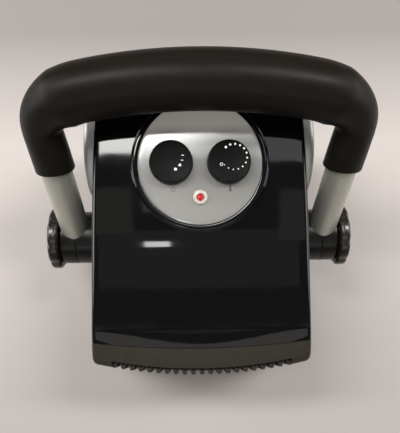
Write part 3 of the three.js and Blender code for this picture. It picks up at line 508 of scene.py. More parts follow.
def clad(piece: bpy.types.Object, edge: float) -> None:
    """Gives an open skin its wall, with rounded edges.

    Args:
        piece: The skin.
        edge: Rounding of the wall's edges.
    """
    skin = piece.modifiers.new("wall", "SOLIDIFY")
    skin.thickness = WALL * MM
    skin.offset = -1
    skin.use_even_offset = True
    rounding = piece.modifiers.new("edge", "BEVEL")
    rounding.width = edge * MM
    rounding.segments = 2
    rounding.limit_method = "ANGLE"
    rounding.angle_limit = math.radians(40)
    rounding.use_clamp_overlap = True
    piece.modifiers.new("shading", "WEIGHTED_NORMAL").keep_sharp = False


class Axis(Enum):
    """The axis that a turned piece is turned around, as the turn from +Z."""

    X = Matrix.Rotation(math.pi / 2, 4, "Y")
    Z = Matrix.Identity(4)


class Form:
    """A mesh being shaped in millimetres, with y = 0 on the handle's pivot line and z = 0 on the floor."""

    def __init__(self) -> None:
        """Starts with nothing."""
        self.bm = bmesh.new()

    def new_verts(self, before: set[bmesh.types.BMVert]) -> list[bmesh.types.BMVert]:
        """The vertices that weren't there before."""
        return [vert for vert in self.bm.verts if vert not in before]

    def move(self, verts: Iterable[bmesh.types.BMVert], matrix: Matrix) -> None:
        """Transforms some of the vertices."""
        bmesh.ops.transform(self.bm, matrix=matrix, verts=list(verts))

    def round_edges(self, edges: Sequence[bmesh.types.BMEdge], width: float, segments: int = 3,
                    clamp: bool = True) -> None:
        """Rounds some of the edges.

        Args:
            edges: The edges.
            width: How far from an edge its rounding starts.
            segments: Faces across the rounding.
            clamp: Whether the rounding stops where it meets another one.
        """
        bmesh.ops.bevel(self.bm, geom=edges, offset=width, offset_type="OFFSET", segments=segments,
                        profile=0.5, affect="EDGES", material=-1, clamp_overlap=clamp)

    def draw_out(self, corners: Sequence[Sequence[float]], along: Sequence[float]) -> None:
        """Fills an outline and draws it out into a solid.

        Args:
            corners: The outline's corners in order, in space.
            along: How far it is drawn out, along x, y and z.
        """
        face = self.bm.faces.new([self.bm.verts.new(corner) for corner in corners])
        grown = bmesh.ops.extrude_face_region(self.bm, geom=[face])["geom"]
        self.move([g for g in grown if isinstance(g, bmesh.types.BMVert)], shifted(*along))

    def slice(self, point: Sequence[float], normal: Sequence[float], drop: bool = False,
              skin: Callable[[Vector], bool] | None = None) -> None:
        """Cuts the form along a plane.

        Args:
            point: A point on the plane.
            normal: The plane's normal.
            drop: Whether what lies on the normal's side goes.
            skin: Which faces are cut, told by their middles, where it isn't all of them.
        """
        faces = [f for f in self.bm.faces if skin is None or skin(f.calc_center_median())]
        parts = dict.fromkeys(part for face in faces for part in (*face.verts, *face.edges, face))
        bmesh.ops.bisect_plane(self.bm, geom=list(parts), dist=0.001, plane_co=point, plane_no=normal,
                               clear_outer=drop, clear_inner=False)

    def open_up(self, low: Sequence[float], high: Sequence[float],
                skin: Callable[[Vector], bool] | None = None) -> None:
        """Cuts an opening with straight sides.

        Args:
            low: Where it starts along x, y and z, minus infinity where it has no side.
            high: Where it ends, infinity where it has no side.
            skin: Which faces it may cut, told by their middles, where it isn't all of them.
        """
        across_x, along_y, up_z = Matrix.Identity(3)
        sides = (
            (across_x, high[0]), (across_x, low[0]), (up_z, low[2]), (up_z, high[2]), (along_y, low[1]),
            (along_y, high[1]),
        )
        for normal, bound in sides:
            if math.isfinite(bound):
                self.slice(normal * bound, normal, skin=skin)
        middles = {face: face.calc_center_median() for face in self.bm.faces}
        hole = [face for face, middle in middles.items() if (skin is None or skin(middle))
                and all(start < place < end for start, place, end in zip(low, middle, high))]
        bmesh.ops.delete(self.bm, geom=hole, context="FACES")

    def turn(self, profile: Sequence[Point], at: Matrix = Matrix.Identity(4), axis: Axis = Axis.Z,
             steps: int = 64, closed: bool = False) -> "Form":
        """Turns a profile around an axis.

        Args:
            profile: Points as (radius, height along the axis).
            at: Where the axis' origin goes.
            axis: The axis, before it is placed.
            steps: Steps around.
            closed: Whether the last point joins the first, as on a ring.

        Returns:
            This form.
        """
        before = set(self.bm.verts)
        verts = [self.bm.verts.new((radius, 0, height)) for radius, height in profile]
        pairs = list(zip(verts, verts[1:])) + ([(verts[-1], verts[0])] if closed else [])
        edges = [self.bm.edges.new(pair) for pair in pairs]
        bmesh.ops.spin(self.bm, geom=[*verts, *edges], cent=(0, 0, 0), axis=(0, 0, 1), dvec=(0, 0, 0),
                       angle=2 * math.pi, steps=steps, use_merge=True, use_duplicate=False)
        bmesh.ops.remove_doubles(self.bm, verts=self.new_verts(before), dist=0.001)
        self.move(self.new_verts(before), at @ axis.value)
        return self

    def slab(self, size: Sequence[float], middle: Sequence[float], edge: float = 0.0,
             at: Matrix = Matrix.Identity(4)) -> "Form":
        """Adds a block with rounded edges.

        Args:
            size: Its size along x, y and z.
            middle: Its middle.
            edge: Rounding of its edges.
            at: Placement of the whole.

        Returns:
            This form.
        """
        before = set(self.bm.verts)
        place = shifted(*middle) @ Matrix.Diagonal((*size, 1))
        made = bmesh.ops.create_cube(self.bm, size=1, matrix=place)["verts"]
        if edge:
            self.round_edges(edges_at(made), edge)
        self.move(self.new_verts(before), at)
        return self

    def plate(self, outline: Sequence[Point], thick: float, at: Matrix = Matrix.Identity(4),
              edge: float = 0.0) -> "Form":
        """Adds a flat plate from an outline in x and y, raised along z.

        Args:
            outline: Its corners in order.
            thick: Its thickness.
            at: Placement.
            edge: Rounding of its edges.

        Returns:
            This form.
        """
        before = set(self.bm.verts)
        self.draw_out([(x, y, 0) for x, y in outline], (0, 0, thick))
        if edge:
            self.round_edges(edges_at(self.new_verts(before)), edge)
        self.move(self.new_verts(before), at)
        return self

    def sweep(self, stations: Sequence[Matrix], sides: int, lobed: Callable[[float], float] | None = None,
              hollow: bool = False) -> "Form":
        """Carries a circle of radius 1 through a row of placements.

        Args:
            stations: Placement and scale of each ring.
            sides: Sides of the ring.
            lobed: Radius of the ring at an angle, where it isn't round.
            hollow: Whether the last ring joins the first, where the row ends in its own start.

        Returns:
            This form.
        """
        ring = bmesh.ops.create_circle(self.bm, cap_ends=not hollow, segments=sides, radius=1)["verts"]
        if lobed:
            for vert in ring:
                vert.co *= lobed(math.atan2(vert.co.y, vert.co.x))
        start = edges = edges_at(ring)
        self.move(ring, stations[0])
        for last, here in zip(stations, stations[1:]):
            grown = bmesh.ops.extrude_edge_only(self.bm, edges=edges)["geom"]
            edges = [g for g in grown if isinstance(g, bmesh.types.BMEdge)]
            edges = [e for e in edges if all(v in grown for v in e.verts)]
            self.move([g for g in grown if isinstance(g, bmesh.types.BMVert)], here @ last.inverted())
        if hollow:
            bmesh.ops.bridge_loops(self.bm, edges=[*start, *edges])
        else:
            bmesh.ops.contextual_create(self.bm, geom=edges)
        return self

    def finish(self, name: str, coat: Coat, body: str, nodes: Sequence[str] = (), slot: str = "",
               crease: float = 32.0, edge: float = 0.0, weld: bool = True) -> bpy.types.Object:
        """Turns the form into a finished piece in metres.

        Args:
            name: The piece's name.
            coat: Its finish.
            body: The body it rides.
            nodes: Frame nodes that it stands for.
            slot: Name of a material slot; not used.
            crease: Angle in degrees above which an edge stays sharp.
            edge: Rounding of the wall's edges, where the form is an open skin that gets a wall.
            weld: Whether points that fall together are merged.

        Returns:
            The new object.
        """
        if weld:
            bmesh.ops.remove_doubles(self.bm, verts=self.bm.verts, dist=0.0005)
        bmesh.ops.recalc_face_normals(self.bm, faces=self.bm.faces)
        self.move(self.bm.verts, Matrix.Scale(MM, 4) @ shifted(y=PIVOT_Y))
        for face in self.bm.faces:
            face.smooth = True
        for rim in self.bm.edges:
            rim.smooth = len(rim.link_faces) == 2 and rim.calc_face_angle(0) < math.radians(crease)
        mesh = bpy.data.meshes.new(name)
        self.bm.to_mesh(mesh)
        self.bm.free()
        mesh.materials.append(coat.material())
        piece = bpy.data.objects.new(name, mesh)
        bpy.context.scene.collection.objects.link(piece)
        if edge:
            clad(piece, edge)
        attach(piece, body)
        if nodes:
            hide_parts(*nodes)
        log.info("%s: %d faces on %s", name, len(mesh.polygons), body)
        return piece


# ---------- casing ----------
@dataclass
class Casing:
    """Gloss upper shell, matt lower shell and charcoal front bezel.

    Attributes:
        front_y: Front face at the two sides.
        front_bow: How far the middle of the front stands further out.
        front_top: Upper end of the front face, before its corner is rounded.
        front_r: Rounding of the front's upper and lower corners.
        brow_y: Where the roll over the front meets the slope of the top.
        brow_z: Height of that place.
        brow_r: Rounding there.
        crest_y: Where the top's own slope starts.
        crest_r: Rounding there.
        back_y: Where the top's slope ends.
        back_r: Rounding there.
        rear_y: Rear face.
        rear_top: Upper end of the rear face.
        rear_r: Rounding there.
        heel_r: Rounding of the rear's lower corner.
        base_z: Underside.
        half_width: Half width at the front.
        taper: How much each side draws in by the rear.
        edge_r: Rounding along the side edges.
        seam_y: Seam between shell and bezel at the two sides.
        bow_back_y: Where the front's bow runs out.
        bow_ease: How gently it starts there.
        across: Lines on each half of the skin, so that it can bow.
        along: Lines from the end of the bow to the front's rounding.
        split_z: Seam between upper and lower shell.
        outlet_half: Half width of the outlet.
        outlet_low: Lower edge of the outlet.
        notch: How far the outlet cuts back into the top edge.
        panel_y: Middle of the control panel.
        panel_z: Height of its middle.
        panel_r: Radius of the control panel.
        panel_thick: Thickness of the control panel.
        tilt: Slope of the top, in degrees.
        boss_r: Radius of the ring around the controls.
        boss_rise: How far that ring stands above the top.
        boss_root: How far it reaches down into the shell.
        intake_half: Half width of the rear intake.
        intake_low: Lower edge of the intake.
        intake_high: Upper edge of the intake.
        pivot_boss_r: Radius of the bosses at the pivots.
        pivot_boss_x: Their outer faces.
        pivot_bore: Radius of the bore for the pivot.
        pivot_lip: Rounding of their rims.
    """

    front_y: float = -113
    front_bow: float = 10
    front_top: float = 147.5
    front_r: float = 9
    brow_y: float = -94
    brow_z: float = 157.3
    brow_r: float = 60
    crest_y: float = -16
    crest_r: float = 260
    back_y: float = 94
    back_r: float = 16
    rear_y: float = 124
    rear_top: float = 152
    rear_r: float = 40
    heel_r: float = 17
    base_z: float = 8
    half_width: float = 88.4
    taper: float = 5
    edge_r: float = 4
    seam_y: float = -97
    bow_back_y: float = -86
    bow_ease: float = 1.3
    across: int = 9
    along: int = 8
    split_z: float = 52
    outlet_half: float = 72.5
    outlet_low: float = 26
    notch: float = 5
    panel_y: float = 40
    panel_z: float = 193
    panel_r: float = 49
    panel_thick: float = 2.5
    tilt: float = 11
    boss_r: float = 54.2
    boss_rise: float = 3.5
    boss_root: float = 6
    intake_half: float = 60
    intake_low: float = 58
    intake_high: float = 128
    pivot_boss_r: float = 25
    pivot_boss_x: float = 88.216
    pivot_bore: float = 8.9
    pivot_lip: float = 0.8

    def controls(self) -> Matrix:
        """Placement of the controls: x across, y up the slope, z out of it."""
        return shifted(0, self.panel_y, self.panel_z) @ tipped(self.tilt)

    def on_top(self, y: float) -> float:
        """Height of the sloping top below the controls."""
        slope = math.radians(self.tilt)
        return self.panel_z - self.boss_rise / math.cos(slope) + (y - self.panel_y) * math.tan(slope)

    def corners(self) -> list[tuple[float, float, float]]:
        """Corners of the casing seen from the side.

        Returns:
            Each corner as (y, z, rounding), from the front's lower one upwards and round.
        """
        return [
            (self.front_y, self.base_z, self.front_r), (self.front_y, self.front_top, self.front_r),
            (self.brow_y, self.brow_z, self.brow_r), (self.crest_y, self.on_top(self.crest_y), self.crest_r),
            (self.back_y, self.on_top(self.back_y), self.back_r), (self.rear_y, self.rear_top, self.rear_r),
            (self.rear_y, self.base_z, self.heel_r),
        ]

    def bow(self, x: float) -> float:
        """How far forward the front's bow stands at a place across, as a share."""
        return 1 - (x / self.half_width) ** 2

    def front_at(self, x: float) -> float:
        """The front face at a place across."""
        return self.front_y - self.front_bow * self.bow(x)

    def half_at(self, y: float) -> float:
        """Half width at a place along the casing."""
        return self.half_width - self.taper * (y - self.front_y) / (self.rear_y - self.front_y)

    def block(self) -> Form:
        """Rounds the casing's outline and side edges.

        Returns:
            The casing as one closed block, before it is bowed and tapered.
        """
        form = Form()
        bm = form.bm
        corners = self.corners()
        form.draw_out([(-self.half_width, y, z) for y, z, _ in corners], (2 * self.half_width, 0, 0))
        bmesh.ops.recalc_face_normals(bm, faces=bm.faces)
        for i, (y, z, radius) in enumerate(corners):
            here = Vector((y, z))
            before, after = (Vector(corners[(i + step) % len(corners)][:2]) - here for step in (-1, 1))
            width = radius / math.tan(before.angle(after) / 2)
            edge = next(e for e in bm.edges if all((v.co.yz - here).length < 0.01 for v in e.verts))
            form.round_edges([edge], width, max(6, int(radius / 4)), False)
        rims = [e for e in bm.edges if abs(abs(e.verts[0].co.x) - self.half_width) < 0.01
                and abs(e.verts[0].co.x - e.verts[1].co.x) < 0.01]
        form.round_edges(rims, self.edge_r, 5, False)
        return form

    def shape(self, form: Form) -> None:
        """Adds lines across and near the front, then bows and tapers a form.

        Args:
            form: What is left of the block.
        """
        for i in range(1 - self.across, self.across):
            form.slice((self.half_width * i / self.across, 0, 0), (1, 0, 0))
        run = self.front_y + self.front_r - self.bow_back_y
        for i in range(self.along + 1):
            form.slice((0, self.bow_back_y + run * i / self.along, 0), (0, 1, 0))
        for vert in form.bm.verts:
            x, y, z = vert.co
            share = min(1.0, max(0.0, (y - self.bow_back_y) / run)) ** self.bow_ease
            vert.co = (x * self.half_at(y) / self.half_width, y - self.front_bow * self.bow(x) * share, z)

    def top_shell(self) -> bpy.types.Object:
        """Builds the upper shell with the opening for the intake.

        Returns:
            The finished skin.
        """
        form = self.block()
        form.slice((0, 0, self.split_z + GAP / 2), (0, 0, -1), True)
        form.slice((0, self.seam_y + GAP / 2, 0), (0, -1, 0), True)
        half = self.intake_half + GAP
        form.open_up((-half, -math.inf, self.intake_low - GAP), (half, math.inf, self.intake_high + GAP),
                     lambda middle: middle.y > self.rear_y - 0.01)
        self.shape(form)
        return form.finish("top_shell_skin", Coat.SHELL, "casing", ["top_shell"], "shell_gloss_black",
                           edge=0.35)

    def bosses(self) -> bpy.types.Object:
        """Builds the ring around the controls and the two pivot bosses.

        Returns:
            Both as one piece.
        """
        outer, inner, floor, foot = self.boss_r, self.panel_r + GAP, -self.panel_thick - GAP, -self.boss_rise
        edge, shoulder = 0.5, 2
        profile = [
            (0, floor), (inner, floor), (inner, -edge), *arc((inner + edge, -edge), edge, 180, 90, 3),
            *arc((outer - shoulder, -shoulder), shoulder, 90, 0, 6), (outer, foot + 0.6),
            (outer + 0.9, foot - 0.3), (outer + 0.6, -self.boss_root), (0, -self.boss_root),
        ]
        form = Form().turn(profile, self.controls(), steps=128)
        root, lip, rim = self.half_at(0) - WALL, self.pivot_boss_x, self.pivot_lip
        boss = [
            (self.pivot_bore, root), (self.pivot_boss_r, root),
            *arc((self.pivot_boss_r - rim, lip - rim), rim, 0, 90, 3), (self.pivot_bore, lip),
        ]
        for side in (-1, 1):
            form.turn(boss, shifted(z=PIVOT_Z) @ mirrored(side), Axis.X, 72, True)
        return form.finish("shell_bosses", Coat.SHELL, "casing", (), "shell_gloss_black")

    def base_tub(self) -> bpy.types.Object:
        """Builds the lower shell.

        Returns:
            The finished skin.
        """
        form = self.block()
        form.slice((0, 0, self.split_z - GAP / 2), (0, 0, 1), True)
        form.slice((0, self.seam_y + GAP / 2, 0), (0, -1, 0), True)
        self.shape(form)
        return form.finish("base_tub_skin", Coat.BASE, "casing", ["base_tub"], "base_matt_black", edge=0.3)

    def bezel(self) -> bpy.types.Object:
        """Builds the front bezel with its outlet.

        Returns:
            The finished skin.
        """
        form = self.block()
        form.slice((0, self.seam_y - GAP / 2, 0), (0, 1, 0), True)
        form.open_up((-self.outlet_half, -math.inf, self.outlet_low),
                     (self.outlet_half, self.front_y + self.notch, math.inf))
        self.shape(form)
        return form.finish("front_bezel_skin", Coat.BEZEL, "casing", ["front_bezel"], "bezel_charcoal",
                           edge=0.35)


@dataclass
class Outlet:
    """Upright slats and two rails in the warm-air outlet.

    Attributes:
        casing: The casing it sits in.
        count: Number of slats.
        thick: Thickness of a slat.
        depth: Depth of a slat below the top edge.
        drop: How far below the front's upper corner the slats end, as a share of its rounding.
        hook_h: Height of a slat's end where it reaches back into the notch.
        hook_low: How far below its upper end a slat reaches its full depth.
        rail: Height and depth of a rail.
        rail_heights: Where the rails are.
        rail_steps: Straight stretches along a rail.
        tip: Rounding of a slat's upper end.
        root: Half width of a slat's upper end where it meets the bezel.
        nose: Half width of that end in front.
        cap: Height of that end.
    """

    casing: Casing
    count: int = 21
    thick: float = 3
    depth: float = 9
    drop: float = 0.35
    hook_h: float = 7
    hook_low: float = 12
    rail: float = 3.6
    rail_heights: Sequence[float] = (40, 110)
    rail_steps: int = 24
    tip: float = 3
    root: float = 3.1
    nose: float = 1.3
    cap: float = 2.6

    def slats(self, form: Form, half: float) -> None:
        """Adds the slats, each with its wider upper end.

        Args:
            form: The moulding.
            half: Half width over all the slats.
        """
        casing = self.casing
        high, low = casing.front_top - casing.front_r * self.drop, casing.outlet_low + GAP
        hook, nose = casing.notch - GAP, self.nose
        outline = [
            (0, low), *arc((self.tip, high - self.tip), self.tip, 180, 90, 5), (hook, high),
            (hook, high - self.hook_h), (self.depth, high - self.hook_low), (self.depth, low),
        ]
        flare = [
            (-self.root, hook), (-nose, 0.5), (-nose + 0.5, 0), (nose - 0.5, 0), (nose, 0.5),
            (self.root, hook),
        ]
        upright = Matrix(((0, 0, 1, 0), (1, 0, 0, 0), (0, 1, 0, 0), (0, 0, 0, 1)))
        pitch = (2 * half - self.thick) / (self.count - 1)
        for i in range(self.count):
            left = -half + i * pitch
            middle = left + self.thick / 2
            front = casing.front_at(middle)
            form.plate(outline, self.thick, shifted(left, front) @ upright, 0.5)
            form.plate(flare, self.cap, shifted(middle, front, high - self.cap), 0.3)

    def rails(self, form: Form, half: float) -> None:
        """Adds the rails behind the slats' faces.

        Args:
            form: The moulding.
            half: Half length of a rail.
        """
        line = [-half + 2 * half * i / self.rail_steps for i in range(self.rail_steps + 1)]
        near = [(x, self.casing.front_at(x) + self.rail * 0.5) for x in line]
        back = [(x, y + self.rail) for x, y in reversed(near)]
        for z in self.rail_heights:
            form.plate([*near, *back], self.rail, shifted(z=z - self.rail / 2), 0.4)

    def build(self) -> bpy.types.Object:
        """Builds the slats and rails as one moulding.

        Returns:
            The moulding.
        """
        form = Form()
        half = self.casing.outlet_half - GAP
        self.slats(form, half)
        self.rails(form, half - self.thick / 2)
        return form.finish("outlet_slats", Coat.GRILLE, "casing", ["outlet_grille"], "grille_charcoal", 50,
                           weld=False)


@dataclass
class Intake:
    """Rear louvre plate.

    Attributes:
        casing: The casing it sits in.
        rows: Rows of slots.
        columns: Slots in a row.
        rim: Rim around the slots.
        slot: Height of a slot.
        thick: Thickness of the plate.
        proud: How far it stands out of the rear face.
    """

    casing: Casing
    rows: int = 8
    columns: int = 3
    rim: float = 6
    slot: float = 3.6
    thick: float = 3
    proud: float = 0.4

    def build(self) -> bpy.types.Object:
        """Builds the frame, its bars and its uprights.

        Returns:
            The plate.
        """
        casing = self.casing
        half, low, high = casing.intake_half, casing.intake_low, casing.intake_high
        y = casing.rear_y + self.proud - self.thick / 2
        form = Form()
        pitch = (high - low - 2 * self.rim) / self.rows
        bar = pitch - self.slot
        border = self.rim + bar / 2
        for z in (low + border / 2, high - border / 2):
            form.slab((2 * half, self.thick, border), (0, y, z), 0.5)
        for row in range(1, self.rows):
            form.slab((2 * half - 2, self.thick - 0.5, bar), (0, y, low + self.rim + row * pitch), 0.6)
        step = (2 * half - self.rim) / self.columns
        for column in range(self.columns + 1):
            x = -half + self.rim / 2 + column * step
            form.slab((self.rim, self.thick, high - low), (x, y, (low + high) / 2), 0.5)
        return form.finish("intake_louvres", Coat.BASE, "casing", ["intake_grille"], "base_matt_black", 50,
                           weld=False)


# ---------- controls ----------
class Marks(Enum):
    """What is printed on a dial."""

    SWITCH_STEPS = "switch steps"
    HEAT_SCALE = "heat scale"


@dataclass
class ControlPanel:
    """Round silver plate with its icons, pointer lines and indicator.

    Attributes:
        casing: The casing it sits on.
        edge_r: Rounding of the plate's edge.
        dial_x: Dials left and right of the middle.
        lamp_down: The indicator, down the slope.
        power_at: Middle of the power icon.
        heat_at: Middle of the heat icon.
        pointers: Both ends of each pointer line.
        pointer_w: Half width of a pointer line.
        sunk: How far the print reaches into the plate.
    """

    casing: Casing
    edge_r: float = 0.5
    dial_x: float = 22.6
    lamp_down: float = 27.4
    power_at: Point = (-21.5, -21.0)
    heat_at: Point = (23.5, -20.4)
    pointers: Sequence[tuple[Point, Point]] = (
        ((-13.3, -13.2), (-9.7, -17.4)),
        ((14.3, -13.7), (11.9, -16.1)),
    )
    pointer_w: float = 0.16
    sunk: float = 0.02

    def frame(self, x: float = 0, up: float = 0, rise: float = 0) -> Matrix:
        """Placement on the sloping plate: x across, y up the slope, z out of it."""
        return self.casing.controls() @ shifted(x, up, rise)

    def plate(self) -> bpy.types.Object:
        """Builds the plate.

        Returns:
            The plate.
        """
        radius, thick, r = self.casing.panel_r, self.casing.panel_thick, self.edge_r
        rim = arc((radius - r, -r), r, 0, 90, 4)
        profile = [(0, -thick), (radius, -thick), *rim, (radius - 3, 0), (0, 0)]
        form = Form().turn(profile, self.frame(), steps=128)
        return form.finish("panel_plate", Coat.PANEL, "casing", ["control_panel"], "panel_silver", 25)

    def icons(self) -> bpy.types.Object:
        """Prints the power and heat icons and the two pointer lines.

        Returns:
            The print.
        """
        form = Form()
        power = self.frame(*self.power_at, -self.sunk)
        form.plate([*arc((0, 0), 1.95, 125, 415, 28), *arc((0, 0), 1.55, 415, 125, 28)], INK, power)
        form.plate([(-0.2, 0.1), (0.2, 0.1), (0.2, 2.2), (-0.2, 2.2)], INK, power)
        bulb = [*arc((0, -1.5), 1.15, 120, 420, 20), (0.42, 2.4), *arc((0, 2.4), 0.42, 0, 180, 6)]
        form.plate(bulb, INK, self.frame(*self.heat_at, -self.sunk))
        for start, end in self.pointers:
            a, b = Vector(start), Vector(end)
            side = (b - a).orthogonal().normalized() * self.pointer_w
            form.plate([a - side, b - side, b + side, a + side], INK, self.frame(0, 0, -self.sunk))
        return form.finish("panel_icons", Coat.DARK_INK, "casing", (), "panel_silver")

    def indicator(self) -> list[bpy.types.Object]:
        """Builds the milky surround and the red lens.

        Returns:
            Both pieces.
        """
        at = self.frame(0, -self.lamp_down)
        dome = [
            (3.0, GAP), (5.6, GAP), (5.9, GAP + 0.3), (5.75, 1.1), *arc((4.4, 1.15), 1.3, 10, 90, 5),
            (3.4, 2.5), (3.0, 2.15),
        ]
        lens = [
            (0, -6.1), (2.7, -6.1), (2.7, 2.0), (2.45, 2.3), (2.2, 2.35), (2.0, 2.2), (1.75, 2.2), (1.6, 2.5),
            (1.0, 2.85), (0, 3.0),
        ]
        ring = Form().turn(dome, at, steps=64, closed=True)
        red = Form().turn(lens, at, steps=48)
        return [
            ring.finish("indicator_surround", Coat.MILKY, "casing", ["lamp_ring"], "lamp_milky", 40),
            red.finish("indicator_lens", Coat.RED, "casing", ["lamp_lens"], "lamp_red", 50),
        ]


@dataclass
class Dial:
    """A round dial with its printed marks.

    Attributes:
        panel: The panel it stands on.
        name: Start of its pieces' names.
        body: The body it rides.
        side: -1 for the left dial, 1 for the right one.
        marks: What is printed on it.
        radius: Its radius.
        height: How far it stands up.
        dish: How far its top lies below its rim.
        bore: Radius of the hole for its shaft.
        socket: Height of that hole.
        scale_at: Middle of the heat scale's row of dots, from the dial's axis.
        scale_r: Radius of the row.
        scale_start: Angle of the row's first dot, in degrees.
        scale_span: Degrees from the first dot to the last.
        dots: Number of dots.
        dot_r: Radius of the first dot.
        dot_growth: How much larger each next dot is.
    """

    panel: ControlPanel
    name: str
    body: str
    side: int
    marks: Marks
    radius: float = 17.3
    height: float = 9
    dish: float = 0.45
    bore: float = 3.3
    socket: float = 6
    scale_at: Point = (3.8, 3.1)
    scale_r: float = 9.9
    scale_start: float = -141
    scale_span: float = 272
    dots: int = 13
    dot_r: float = 0.42
    dot_growth: float = 0.045

    def at(self, x: float = 0, up: float = 0, rise: float = 0) -> Matrix:
        """Placement on the dial's own axis."""
        return self.panel.frame(self.side * self.panel.dial_x + x, up, rise)

    def knob(self) -> bpy.types.Object:
        """Turns the dial with its raised rim.

        Returns:
            The dial.
        """
        r, top, face = self.radius, self.height, self.height - self.dish
        profile = [
            (self.bore, GAP), (r - 0.6, GAP), (r, GAP + 0.6), (r - 0.15, 1.6), (r - 0.7, top - 1.0),
            *arc((r - 1.25, top - 0.55), 0.55, 8, 90, 5), (r - 1.5, top - 0.05), (r - 1.7, face + 0.05),
            (r - 1.9, face), (0, face), (0, self.socket), (self.bore, self.socket),
        ]
        form = Form().turn(profile, self.at(), steps=96, closed=True)
        return form.finish(f"{self.name}_cap", Coat.DIAL, self.body, [f"{self.name}_dial"], "dial_black", 28)

    def switch_steps(self, form: Form, rise: float) -> None:
        """Adds two bars, a flame and a dot, one for each step of the switch.

        Args:
            form: The print.
            rise: Height of the print above the panel.
        """
        for x, up in ((9.2, 4.6), (8.7, 0.8)):
            form.slab((1.9, 0.55, INK), (0, 0, 0), 0, self.at(x, up, rise + INK / 2))
        flame = [(-1.0, -0.9), (1.0, -0.9), (1.1, 0), (0.3, 1.5), (-0.3, 0.7), (-1.1, 0.1)]
        form.plate(flame, INK, self.at(6.9, -2.9, rise))
        form.plate(arc((0, 0), 1.15, 0, 345, 23), INK, self.at(3.6, -6.1, rise))

    def heat_scale(self, form: Form, rise: float) -> None:
        """Adds a row of growing dots and a ring at its low end.

        Args:
            form: The print.
            rise: Height of the print above the panel.
        """
        turns = [self.scale_start + i * self.scale_span / (self.dots - 1) for i in range(self.dots)]
        for i, turn in enumerate(turns):
            x = self.scale_at[0] + self.scale_r * math.cos(math.radians(turn))
            up = self.scale_at[1] + self.scale_r * math.sin(math.radians(turn))
            form.plate(arc((0, 0), self.dot_r + self.dot_growth * i, 0, 340, 17), INK, self.at(x, up, rise))
        ring = [(0.85, 0), (1.25, 0), (1.25, INK), (0.85, INK)]
        form.turn(ring, self.at(-6.2, -2.7, rise), steps=24, closed=True)

    def print(self) -> bpy.types.Object:
        """Prints the marks on the dial's top.

        Returns:
            The print.
        """
        form = Form()
        rise = self.height - self.dish - 0.01
        if self.marks is Marks.SWITCH_STEPS:
            self.switch_steps(form, rise)
        else:
            self.heat_scale(form, rise)
        return form.finish(f"{self.name}_marks", Coat.WHITE_INK, self.body, (), "dial_black")


